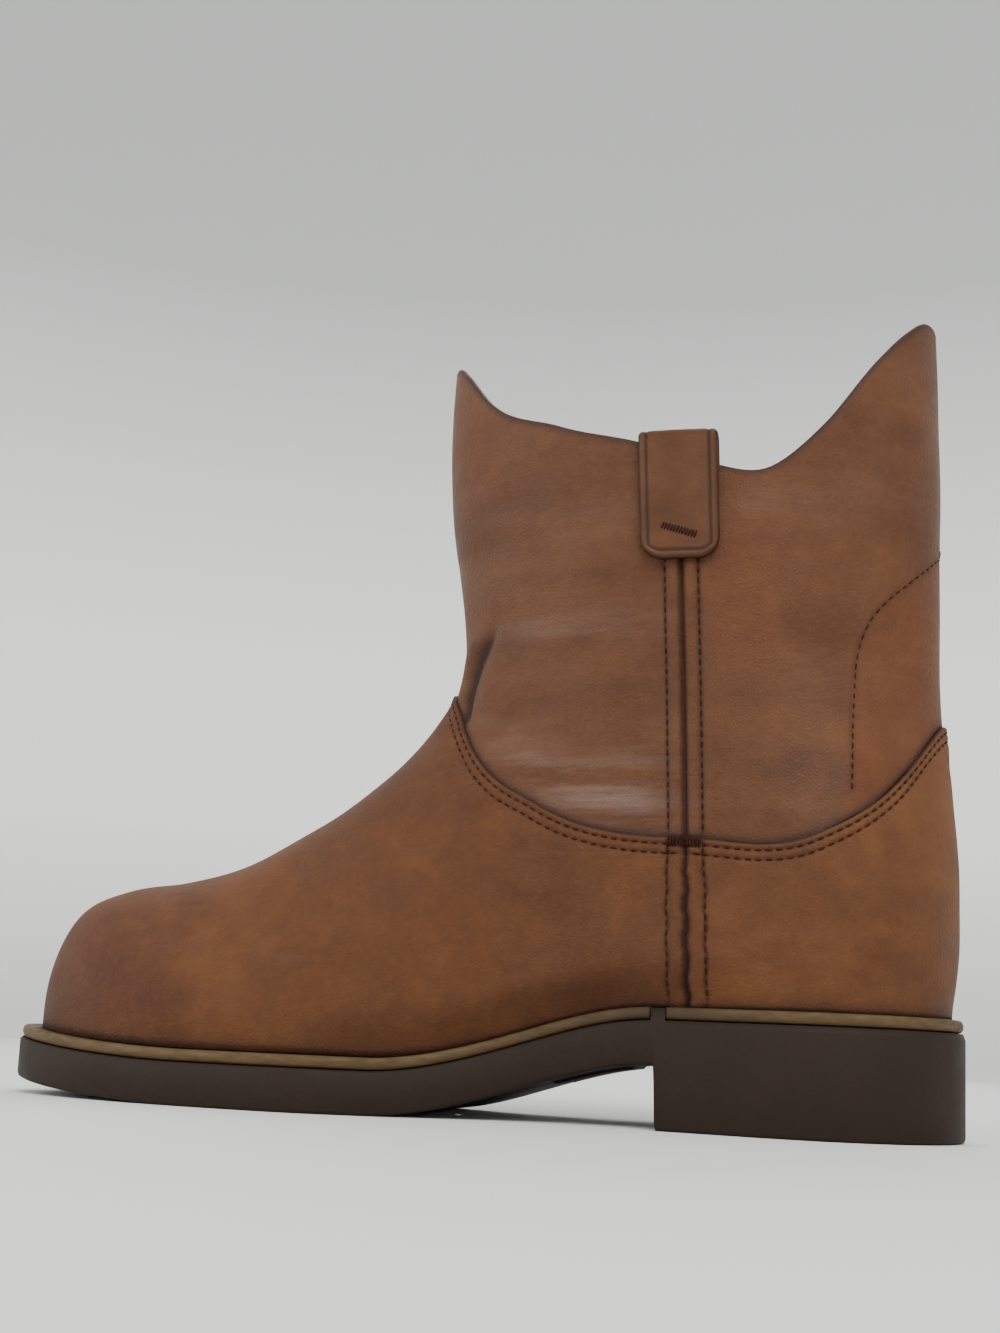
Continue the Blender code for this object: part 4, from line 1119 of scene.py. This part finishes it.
def even_starts(half_length, half_breadth, count):
    """Angles that divide an oval's edge into even lengths, from the toe end to both sides."""
    turn = np.linspace(0, math.pi, PROFILE_SAMPLES)
    edge = np.stack([half_length * np.cos(turn), half_breadth * np.sin(turn)], axis=1)
    length = np.concatenate([[0], np.cumsum(np.hypot(*np.diff(edge, axis=0).T))])
    return np.interp((np.arange(count) + 0.5) / count * length[-1], length, turn)


# A stretch of tread: its pit's middle and half sizes, the limits along the boot, each groove's start
# round the pit and direction, and each cross's middle and turn.
Tread = namedtuple("Tread", "x_centre y_centre half_length half_breadth rear front grooves crosses")


def forepart_tread():
    """The oval under the ball, grooves all round it but at its back, two lanes of crosses."""
    x_centre = SOLE_LENGTH * 0.680
    y_centre = float(centre_line(x_centre)) - PIT_SHIFT
    half_length, half_breadth = SOLE_LENGTH * 0.158, BALL_WIDTH * 0.158
    starts = even_starts(half_length, half_breadth, 9)[:8]
    points = np.radians(smooth_curve(*zip(*GROOVE_LEANS), np.degrees(starts)))
    grooves = list(zip(starts, points)) + list(zip(-starts, -points))
    pitch_x, pitch_y = CROSS_ARM * 2.50, CROSS_ARM * 2.30
    crosses = [
        (x_centre + column * pitch_x, y_centre + lane * pitch_y, 0.35 * (column % 2))
        for lane in (-0.5, 0.5)
        for column in (-2.5, -1.5, -0.5, 0.5, 1.5, 2.5)
    ]
    crosses.append((x_centre + 3.35 * pitch_x, y_centre, 0.0))
    rear, front = TREAD_START - TREAD_OVERRUN, SOLE_LENGTH - TREAD_MARGIN
    return Tread(x_centre, y_centre, half_length, half_breadth, rear, front, grooves, crosses)


def heel_tread():
    """The small oval under the heel with ten grooves straight out and three crosses."""
    starts = 2 * math.pi * (np.arange(10) + 0.5) / 10
    crosses = [(HEEL_LENGTH / 2 + i * CROSS_ARM * 2.3, 0.0, 0.3 * i) for i in (-1, 0, 1)]
    middle, half_length, half_breadth = HEEL_LENGTH / 2, HEEL_LENGTH * 0.235, HEEL_WIDTH * 0.150
    rear, front = TREAD_MARGIN, HEEL_LENGTH - TREAD_MARGIN * 0.72
    return Tread(middle, 0.0, half_length, half_breadth, rear, front, list(zip(starts, starts)), crosses)


def groove_reach(x, y, points, rear, front):
    """How far a groove runs from its start before it comes to the plain margin."""
    margin = Inset(TREAD_MARGIN, TREAD_MARGIN, TREAD_MARGIN)
    along = np.arange(REACH_START, REACH_LIMIT, REACH_STEP)
    x, y = x + along * math.cos(points), y + along * math.sin(points)
    over = y > centre_line(x)
    width = np.where(over, half_width(x, MEDIAL, margin), half_width(x, LATERAL, margin))
    inside = (np.abs(y - centre_line(x)) < width) & (x > rear) & (x < front)
    return REACH_START + REACH_STEP * int(np.argmin(inside))


def tread_depth(x, y):
    """Depth of the tread at points of the plan: a sunken oval, wedge grooves that narrow outwards
    from it, and plus-shaped lugs left standing in it, all with sloping walls."""
    depth = 0 * x
    for part in (forepart_tread(), heel_tread()):
        for start, points in part.grooves:
            x0 = part.x_centre + part.half_length * math.cos(start)
            y0 = part.y_centre + part.half_breadth * math.sin(start)
            reach = groove_reach(x0, y0, points, part.rear, part.front)
            if reach < GROOVE_WIDTH:
                continue
            along = (x - x0) * math.cos(points) + (y - y0) * math.sin(points)
            across = np.abs((y - y0) * math.cos(points) - (x - x0) * math.sin(points))
            narrowing = GROOVE_WIDTH / 2 * mix(1.25, 0.70, np.clip(along / reach, 0, 1))
            inside = ease((narrowing - across) / TREAD_SLOPE + 0.5)
            inside = inside * ease((reach - along) / TREAD_SLOPE + 0.5)
            depth = np.maximum(depth, inside * ease((along + 0.0015) / TREAD_SLOPE))
        along, across = (x - part.x_centre) / part.half_length, (y - part.y_centre) / part.half_breadth
        from_middle = np.hypot(along, across)
        oval = ease((1 - from_middle) * part.half_breadth / TREAD_SLOPE + 0.5)
        depth = np.maximum(depth, oval)
        for x0, y0, turned in part.crosses:
            u = (x - x0) * math.cos(turned) + (y - y0) * math.sin(turned)
            v = (y - y0) * math.cos(turned) - (x - x0) * math.sin(turned)
            bar_u = np.minimum(CROSS_ARM - np.abs(u), CROSS_WIDTH / 2 - np.abs(v))
            bar_v = np.minimum(CROSS_ARM - np.abs(v), CROSS_WIDTH / 2 - np.abs(u))
            depth = depth * (1 - ease(np.maximum(bar_u, bar_v) / TREAD_SLOPE + 0.5))
    return TREAD_DEPTH * depth


def make_outsole(rubber):
    """The moulded sole: rings across the boot, each made of the underside with its tread, the two
    side walls with rounded edges, and the upper face with its raised middle. Across the heel's breast
    the rubber rises between the two edge strips."""
    breast, tab_rear, tab_front = HEEL_LENGTH, HEEL_LENGTH - RAND_END + GAP, HEEL_LENGTH + WELT_START - GAP
    close = [breast + 0.0004 * i for i in range(-9, 4)]
    close += [tab_rear - 0.00005, tab_rear + 0.00005, tab_front - 0.00005, tab_front + 0.00005]
    share = sole_stations(SOLE_STATIONS)
    share = share[(share < (breast - 0.0045) / SOLE_LENGTH) | (share > (breast + 0.002) / SOLE_LENGTH)]
    share = np.sort(np.concatenate([share, np.array(close) / SOLE_LENGTH]))
    across = np.linspace(-1, 1, SOLE_LINES)
    strip = WELT_WIDTH + WELT_INSET + GAP

    def outline(inset, side):
        x = share * SOLE_LENGTH + inset * (1 - ease(share / 0.2) - ease((share - 0.8) / 0.2))
        return x, centre_line(x) + side.sign * half_width(x, side, Inset(inset, inset, inset))

    def underside(x, hollow=0.0):
        return lift(x) * ease((x - (breast - 0.0010 - hollow)) / 0.0010)

    def tab(x):
        return (x > tab_rear) & (x < tab_front)

    rings, marks = [], []

    def add(x, y, z, unshaded_side, recess_shade):
        rings.append(np.stack([x, y, z + spring(x)], axis=1))
        marks.append(np.stack([unshaded_side + 0 * x, recess_shade + 0 * x, 0 * x], axis=1))

    def wall(side):
        """Inset and height of each line up the side, from the underside to the raised middle."""
        lines = []
        for inset, low_part in ((0.0004, 0.0004), (0.0, 0.0013), (0.0, 0.5), (0.0, 0.94), (0.0007, 1.0)):
            x, y = outline(inset, side)
            low, high = underside(x), sole_top(x)
            z = low + low_part if low_part < 0.01 else mix(low, high, low_part)
            lines.append((x, y, z, 1.0))
        for inset, on_middle in ((WELT_INSET + 0.0006, False), (strip, False), (strip, True)):
            x, y = outline(inset, side)
            raised = welt_top(x) - sole_top(x)
            lines.append((x, y, sole_top(x) + raised * (1.0 if on_middle else 0.92 * tab(x)), 1.0))
        return lines

    x_low, y_lateral = outline(0.0013, LATERAL)
    _, y_medial = outline(0.0013, MEDIAL)
    middle, half = (y_medial + y_lateral) / 2, (y_medial - y_lateral) / 2
    panel_x = HEEL_LENGTH + PANEL_GAP + PANEL_LENGTH / 2
    for t in across:
        y = middle + t * half
        depth = tread_depth(x_low, y)
        inside = PANEL_LENGTH / 2 - np.abs(x_low - panel_x)
        inside = np.minimum(inside, PANEL_WIDTH / 2 - np.abs(y + PANEL_SHIFT))
        panel = ease(inside / 0.0007 + 0.5) - 0.7 * bump(inside - 0.0022, 0.0006)
        z = underside(x_low, 0.0016 * (1 - t * t)) + depth - PANEL_RAISE * panel
        # The underside takes painted shade, deeper in the tread's recesses.
        add(x_low, y, z, 0.0, depth / TREAD_DEPTH)
    for side, order in ((MEDIAL, 1), (LATERAL, -1)):
        for x, y, z, unshaded_side in wall(side)[::order]:
            add(x, y, z, unshaded_side, 0.0)
    return place(ringed("sole_unit", rings, rubber, marks), "sole_rubber", "outsole")


def make_edge(name, node, first, last, material):
    """A strip along the sole's edge, its outer side rounded: a profile carried round the outline."""
    share = 1 - (1 - np.linspace(0, 1, 240)) ** 1.8
    turn = np.linspace(-math.pi / 2, math.pi / 2, 9)
    half = WELT_THICKNESS / 2
    profile = [(0.0012 * (1 - math.cos(a)), half + half * math.sin(a)) for a in turn]
    profile = profile + [(WELT_WIDTH, 2 * half), (WELT_WIDTH, 0.0)]
    rings, marks = [], []
    for inset, height in profile:
        edge = WELT_INSET + inset
        end = SOLE_LENGTH - edge if last > first else edge
        x = mix(first, end, share)
        sides = []
        for side in (LATERAL, MEDIAL):
            y = centre_line(x) + side.sign * half_width(x, side, Inset(edge, edge, edge))
            y[-1] = centre_line(x[-1])
            sides.append(np.stack([x, y, sole_top(x) + GAP + height + spring(x)], axis=1))
        rings.append(np.concatenate([sides[0], sides[1][-2::-1]]))
        fade = np.exp(-np.abs(rings[-1][:, 0] - HEEL_LENGTH) / 0.035)
        marks.append(np.stack([fade, 0 * fade, 0 * fade], axis=1))
    return place(ringed(name, rings, material, marks, turned=last > first), "welt", node)


def make_insole(lining):
    """The board and sock inside, a slab along the feather line with a rounded upper edge."""
    share = sole_stations(150)
    base = UPPER_WALL + INSOLE_CLEARANCE

    def line(inset, side, z):
        heel = FEATHER.heel + base + INSOLE_HEEL_CLEARANCE + inset
        ball = FEATHER.ball + base + inset
        toe = FEATHER.toe + base + INSOLE_TOE_CLEARANCE + inset
        x = mix(heel, SOLE_LENGTH - toe, share)
        y = centre_line(x) + side.sign * half_width(x, side, Inset(heel, ball, toe))
        return np.stack([x, y, welt_top(x) + GAP + z + spring(x)], axis=1)

    thick = INSOLE_THICKNESS
    profile = ((0.0, 0.0), (0.0, thick * 0.7), (0.0008, thick), (0.01, thick))
    rings = [line(inset, MEDIAL, z) for inset, z in profile]
    rings += [line(inset, LATERAL, z) for inset, z in profile[::-1]]
    return place(ringed("insole_board", rings, lining), "insole", "insole")


def make_strap(side, name, node, material):
    """A strap folded over the collar: a path over the edge, carried across its width, with both
    faces, thin rounded edges, a pressed line inside its rim and rounded lower corners."""
    across = np.sin(np.linspace(-math.pi / 2, math.pi / 2, 65)) * STRAP_WIDTH / 2
    collar_x = np.linspace(SEAM_TOP - STRAP_WIDTH, SEAM_TOP + STRAP_WIDTH, 61)
    collar_z = level_height(2.0, collar_x)
    crown = float(np.interp(SEAM_TOP + across, collar_x, collar_z).max()) + 2 * GAP
    far = STRAP_OUT + STRAP_THICKNESS
    inside = -UPPER_WALL - GAP
    past = np.clip((np.abs(across) - (STRAP_WIDTH / 2 - STRAP_CORNER)) / STRAP_CORNER, 0, 1)
    corner = STRAP_CORNER * (1 - np.sqrt(1 - past**2))
    end = crown - STRAP_DROP + corner
    from_side = STRAP_WIDTH / 2 - np.abs(across)
    thin = 0.0008 * np.exp(-from_side / 0.0005)

    def wall(z):
        return upper_half_width(seam_x(z) + across, z, side)

    rings, marks = [], []

    def add(y, z, edge):
        rings.append(np.stack([seam_x(z) + across, side.sign * y, z + 0 * across], axis=1))
        marks.append(np.stack([edge + 0 * across, 0 * across, 0 * across], axis=1))

    legs = np.linspace(0, 1, 56) ** 1.5
    for t in legs:
        z = mix(end, crown + 0 * across, t)
        rim = np.minimum(from_side, z - end)
        line = bump(rim - STRAP_LINE, 0.00055)
        soft = 0.0009 * np.exp(-(z - end) / 0.0005)
        swell = 0.00025 * bump(rim - 0.0012, 0.0006)
        swell = swell + 0.00015 * ripple(seam_x(z) + 3 * across, 0 * z, 2 * z)
        # Painted shade in the pressed line inside the rim; the cut edges are dark leather.
        shade = np.maximum(0.8 * line, 0.95 * np.exp(-rim / 0.0004))
        add(wall(z) + far - thin - soft - 0.00035 * line + swell - 0.0002, z, shade)
    middle, half = (far + inside - STRAP_THICKNESS) / 2, (far - inside + STRAP_THICKNESS) / 2
    for a in np.linspace(0, math.pi, 15)[1:-1]:
        z = crown + STRAP_THICKNESS * math.sin(a) + 0 * across
        line = bump(from_side - STRAP_LINE, 0.00055) * (a < 2)
        y = wall(crown + 0 * across) + middle + (half - thin - 0.0003 * line) * math.cos(a)
        shade = np.maximum(0.8 * line, 0.9 * np.exp(-from_side / 0.0004))
        add(y, z - thin - 0.0003 * line * math.sin(a), shade)
    # The inner leg and the faces that lie against the collar are painted darker, as shade.
    for t in legs[::3]:
        z = crown - STRAP_INSIDE_DROP * t + 0 * across
        add(wall(z) + inside - STRAP_THICKNESS + thin, z, 0.2)
    for t in legs[::-3]:
        z = crown - STRAP_INSIDE_DROP * t + 0 * across
        add(wall(z) + inside, z, 0.5)
    for t in legs[::-2]:
        z = mix(end, crown + 0 * across, t)
        add(wall(z) + STRAP_OUT, z, 0.8)
    return place(ringed(name, rings, material, marks, turned=side.sign < 0), "strap_leather", node)


def strap_finish(looks):
    """The straps' leather, as the shaft's, with pale streaks in the sheen colour, dark cut edges, and
    painted shade in the pressed rim line and on the faces that lie against the boot.
    """
    made = Finish("strap_leather", roughness=0.6, specular=0.20)
    edge = made.marks()[0]
    clouds = made.ranged(made.noise(45, 5, 0.6), 0.35, 0.7)
    colour = made.blend(rgba(looks.shaft_light, 0.8), rgba(looks.shaft_dark, 0.8), clouds)
    streaks = made.ranged(made.noise(55, 8, 0.75, (0.35, 0.35, 3.0)), 0.56, 0.74)
    colour = made.blend(colour, rgba(looks.pale_sheen), made.maths("MULTIPLY", streaks, 0.2))
    # Dark cut edges, and painted shade in the pressed rim line and on the hidden faces.
    colour = made.blend(colour, rgba(looks.edge), edge)
    grain = made.maths("ADD", made.noise(1100, 3, 0.6), made.noise(330, 4, 0.6))
    return made.finish(colour, made.ranged(clouds, 0, 1, 0.45, 0.62), grain, 0.0003, 0.5)


def number_setting(name, description, default, **kind):
    """A property that holds one number."""
    return FloatProperty(name=name, description=description, default=default, **kind)


def length_setting(name, description, default):
    """A property that holds a length in metres."""
    return number_setting(name, description, default, unit="LENGTH")


def colour_setting(name, description, default):
    """A property that holds a colour."""
    return FloatVectorProperty(name=name, description=description, default=default, subtype="COLOR")


class BootSizes(bpy.types.PropertyGroup):
    groove_depth: length_setting("Seam groove", "Depth of the groove in the side seam", 0.0007)
    unevenness: length_setting("Unevenness", "Slow unevenness of the lasted leather", 0.0007)
    stitch_sink: length_setting("Stitch sink", "How far stitching draws the leather in", 0.00035)
    pitch: length_setting("Stitch pitch", "From stitch to stitch", 0.0030)
    stitch: length_setting("Stitch length", "Length of one stitch", 0.0024)
    thread: length_setting("Thread", "Thickness of the thread", 0.0007)


class BootLooks(bpy.types.PropertyGroup):
    vamp_light: colour_setting("Vamp, light", "Lighter brown of the vamp", (0.138, 0.053, 0.0185))
    vamp_dark: colour_setting("Vamp, dark", "Darker brown of the vamp", (0.076, 0.0270, 0.0092))
    patch: colour_setting("Patches", "Reddish dark patches", (0.060, 0.016, 0.006))
    shaft_light: colour_setting("Shaft, light", "Lighter brown of the shaft", (0.118, 0.0445, 0.0165))
    shaft_dark: colour_setting("Shaft, dark", "Darker brown of the shaft", (0.068, 0.0255, 0.0105))
    rust: colour_setting("Rust", "Rubbed rust-brown of the back patch", (0.120, 0.0330, 0.0105))
    # Painted sheen: the pale colour of highlights laid on the shaft; it also tints the scuffs and the
    # straps' streaks.
    pale_sheen: colour_setting("Highlights", "Pale painted highlights", (0.23, 0.175, 0.155))
    # Dark of cut edges, and of the painted shade in grooves, creases, stitched lines, the join, the feather
    # line and on the straps.
    edge: colour_setting("Edges", "Cut edges and grooves", (0.018, 0.005, 0.003))
    lining: colour_setting("Lining", "Lining and insole", (0.40, 0.29, 0.18))
    rubber: colour_setting("Rubber", "Side of the sole", (0.019, 0.0110, 0.0075))
    # The underside's colour: the side's rubber made darker as painted shade.
    tread: colour_setting("Tread", "Underside of the sole", (0.010, 0.0060, 0.0052))
    welt: colour_setting("Welt", "Strip between upper and sole", (0.105, 0.064, 0.026))
    thread: colour_setting("Thread", "Stitching", (0.040, 0.0135, 0.0065))


class StageSettings(bpy.types.PropertyGroup):
    azimuth: number_setting("Azimuth", "Camera's way round the boot, in degrees", 195.5)
    distance: length_setting("Distance", "Camera to boot", 0.485)
    height: length_setting("Height", "Camera above the floor", 0.022)
    aim: length_setting("Aim", "Height the camera looks at", 0.0925)
    aim_back: length_setting("Aim back", "How far behind the middle it looks", 0.0095)
    roll: number_setting("Roll", "Camera's roll, in degrees", 2.6)
    lens: number_setting("Lens", "Focal length in millimetres", 40.6)
    shift: number_setting("Shift", "Upward shift of the picture", 0.12)


class BOOT_OT_upper(bpy.types.Operator):
    """Makes the hollow leather upper"""

    bl_idname = "boot.upper"
    bl_label = "Upper"

    def execute(self, context):
        looks = context.scene.boot_looks
        make_upper(context.scene.boot_sizes, leather_finish(looks), lining_finish(looks))
        return {"FINISHED"}


class BOOT_OT_stitching(bpy.types.Operator):
    """Sews the stitched rows"""

    bl_idname = "boot.stitching"
    bl_label = "Stitching"

    def execute(self, context):
        make_stitching(context.scene.boot_sizes, thread_finish(context.scene.boot_looks))
        return {"FINISHED"}


class BOOT_OT_sole(bpy.types.Operator):
    """Makes the outsole, the welt and the heel rand"""

    bl_idname = "boot.sole"
    bl_label = "Sole"

    def execute(self, context):
        looks = context.scene.boot_looks
        make_outsole(rubber_finish(looks))
        edge = welt_finish(looks)
        make_edge("welt_strip", "welt", HEEL_LENGTH + WELT_START, SOLE_LENGTH, edge)
        make_edge("heel_strip", "heel_rand", HEEL_LENGTH - RAND_END, 0.0, edge)
        return {"FINISHED"}


class BOOT_OT_insole(bpy.types.Operator):
    """Makes the insole"""

    bl_idname = "boot.insole"
    bl_label = "Insole"

    def execute(self, context):
        make_insole(lining_finish(context.scene.boot_looks))
        return {"FINISHED"}


class BOOT_OT_straps(bpy.types.Operator):
    """Makes the two pull straps"""

    bl_idname = "boot.straps"
    bl_label = "Pull straps"

    def execute(self, context):
        leather = strap_finish(context.scene.boot_looks)
        make_strap(MEDIAL, "strap_medial", "pull_strap_medial", leather)
        make_strap(LATERAL, "strap_lateral", "pull_strap_lateral", leather)
        return {"FINISHED"}


class BOOT_OT_stage(bpy.types.Operator):
    """Sets out the floor, the lights and the camera"""

    bl_idname = "boot.stage"
    bl_label = "Stage"

    def execute(self, context):
        make_stage(context.scene, context.scene.boot_stage)
        return {"FINISHED"}


def paper_finish():
    """Pale paper with painted light, a faint glow of its own at middle height, and painted shade, darker
    above.
    """
    made = Finish("paper", roughness=0.9, specular=0.2)
    height = made.node("ShaderNodeSeparateXYZ", Vector=made.coords).outputs[2]
    above = made.ranged(height, 1.0, 2.0)
    # Painted shade darker above, and painted light: the paper glows as an emission, though it is no lamp.
    shade = made.blend((0.72, 0.73, 0.71, 1), (0.66, 0.67, 0.66, 1), above)
    low, high = made.ranged(height, 0.02, 0.5), made.ranged(height, 0.9, 1.9, 0.52, 0.0)
    glow = made.maths("MULTIPLY", low, high)
    made.shader.inputs["Emission Color"].default_value = (1.0, 1.0, 0.98, 1)
    made.tree.links.new(glow, made.shader.inputs["Emission Strength"])
    made.material.cycles.emission_sampling = "NONE"
    return made.finish(shade)


def make_stage(scene, settings):
    """A pale floor that curves up into a wall all round, as a profile turned about the z axis, with
    three soft lights and the camera."""
    bend, flat, top = 0.9, 2.2, 3.0
    turn = np.linspace(0, math.pi / 2, 16)
    profile = np.array(
        [(0.001, 0.0), (0.6, 0.0), (flat, 0.0)]
        + [(flat + bend * math.sin(a), bend * (1 - math.cos(a))) for a in turn[1:]]
        + [(flat + bend, top)]
    )
    around = np.linspace(0, 2 * math.pi, 96, endpoint=False)
    grid = np.stack(
        [
            profile[:, :1] * np.cos(around)[None] + HEEL_LENGTH / 2 + 0.11,
            profile[:, :1] * np.sin(around)[None],
            profile[:, 1:] + 0 * around[None],
        ],
        axis=-1,
    )
    floor = build_mesh("floor", grid, grid_faces(len(profile), 96, closed=True), paper_finish())
    for name, place_at, size, power, colour in (
        ("key", (-0.5, 1.3, 1.5), 1.4, 34, (1.0, 0.985, 0.96)),
        ("fill", (1.5, 0.9, 0.9), 1.2, 14, (0.95, 0.98, 1.0)),
        ("back", (0.2, -1.5, 1.6), 1.4, 20, (1.0, 1.0, 1.0)),
    ):
        data = bpy.data.lights.new(name, "AREA")
        data.shape = "DISK"
        data.size, data.energy, data.color = size, power, colour
        light = bpy.data.objects.new(name, data)
        light.location = place_at
        aim = Vector((0.11, 0, 0.1)) - light.location
        light.rotation_euler = aim.to_track_quat("-Z", "Y").to_euler()
        scene.collection.objects.link(light)
    world = bpy.data.worlds.new("soft_room")
    world.use_nodes = True
    world.node_tree.nodes["Background"].inputs["Color"].default_value = (0.86, 0.88, 0.88, 1)
    world.node_tree.nodes["Background"].inputs["Strength"].default_value = 0.95
    scene.world = world
    data = bpy.data.cameras.new("camera")
    data.lens, data.sensor_width = settings.lens, 36.0
    data.shift_y = settings.shift
    data.clip_start = 0.01
    camera = bpy.data.objects.new("camera", data)
    middle = Vector((SOLE_LENGTH / 2 - HEEL_LENGTH / 2, 0, 0))
    azimuth = math.radians(settings.azimuth)
    back = Vector((math.sin(azimuth), -math.cos(azimuth), 0))
    camera.location = middle + back * settings.distance + Vector((0, 0, settings.height))
    view = middle + Vector((-settings.aim_back, 0, settings.aim)) - camera.location
    camera.rotation_mode = "QUATERNION"
    rolled = Matrix.Rotation(math.radians(settings.roll), 4, "Z").to_quaternion()
    camera.rotation_quaternion = view.to_track_quat("-Z", "Y") @ rolled
    scene.collection.objects.link(camera)
    scene.camera = camera


class BOOT_PT_panel(bpy.types.Panel):
    """Lists the boot's pieces"""

    bl_label = "Boot"
    bl_idname = "BOOT_PT_panel"
    bl_space_type = "VIEW_3D"
    bl_region_type = "UI"
    bl_category = "Boot"

    def draw(self, context):
        for operator in OPERATORS:
            self.layout.operator(operator.bl_idname)
        for group in (context.scene.boot_sizes, context.scene.boot_looks, context.scene.boot_stage):
            for name in group.__annotations__:
                self.layout.prop(group, name)


OPERATORS = (BOOT_OT_stage, BOOT_OT_upper, BOOT_OT_stitching, BOOT_OT_sole, BOOT_OT_insole, BOOT_OT_straps)
CLASSES = (BootSizes, BootLooks, StageSettings, *OPERATORS, BOOT_PT_panel)


def register():
    for cls in CLASSES:
        bpy.utils.register_class(cls)
    bpy.types.Scene.boot_sizes = PointerProperty(type=BootSizes)
    bpy.types.Scene.boot_looks = PointerProperty(type=BootLooks)
    bpy.types.Scene.boot_stage = PointerProperty(type=StageSettings)


def unregister():
    del bpy.types.Scene.boot_stage
    del bpy.types.Scene.boot_looks
    del bpy.types.Scene.boot_sizes
    for cls in reversed(CLASSES):
        bpy.utils.unregister_class(cls)


def main():
    register()
    bpy.ops.boot.stage()
    bpy.ops.boot.upper()
    bpy.ops.boot.stitching()
    bpy.ops.boot.sole()
    bpy.ops.boot.insole()
    bpy.ops.boot.straps()


if __name__ == "__main__":
    main()
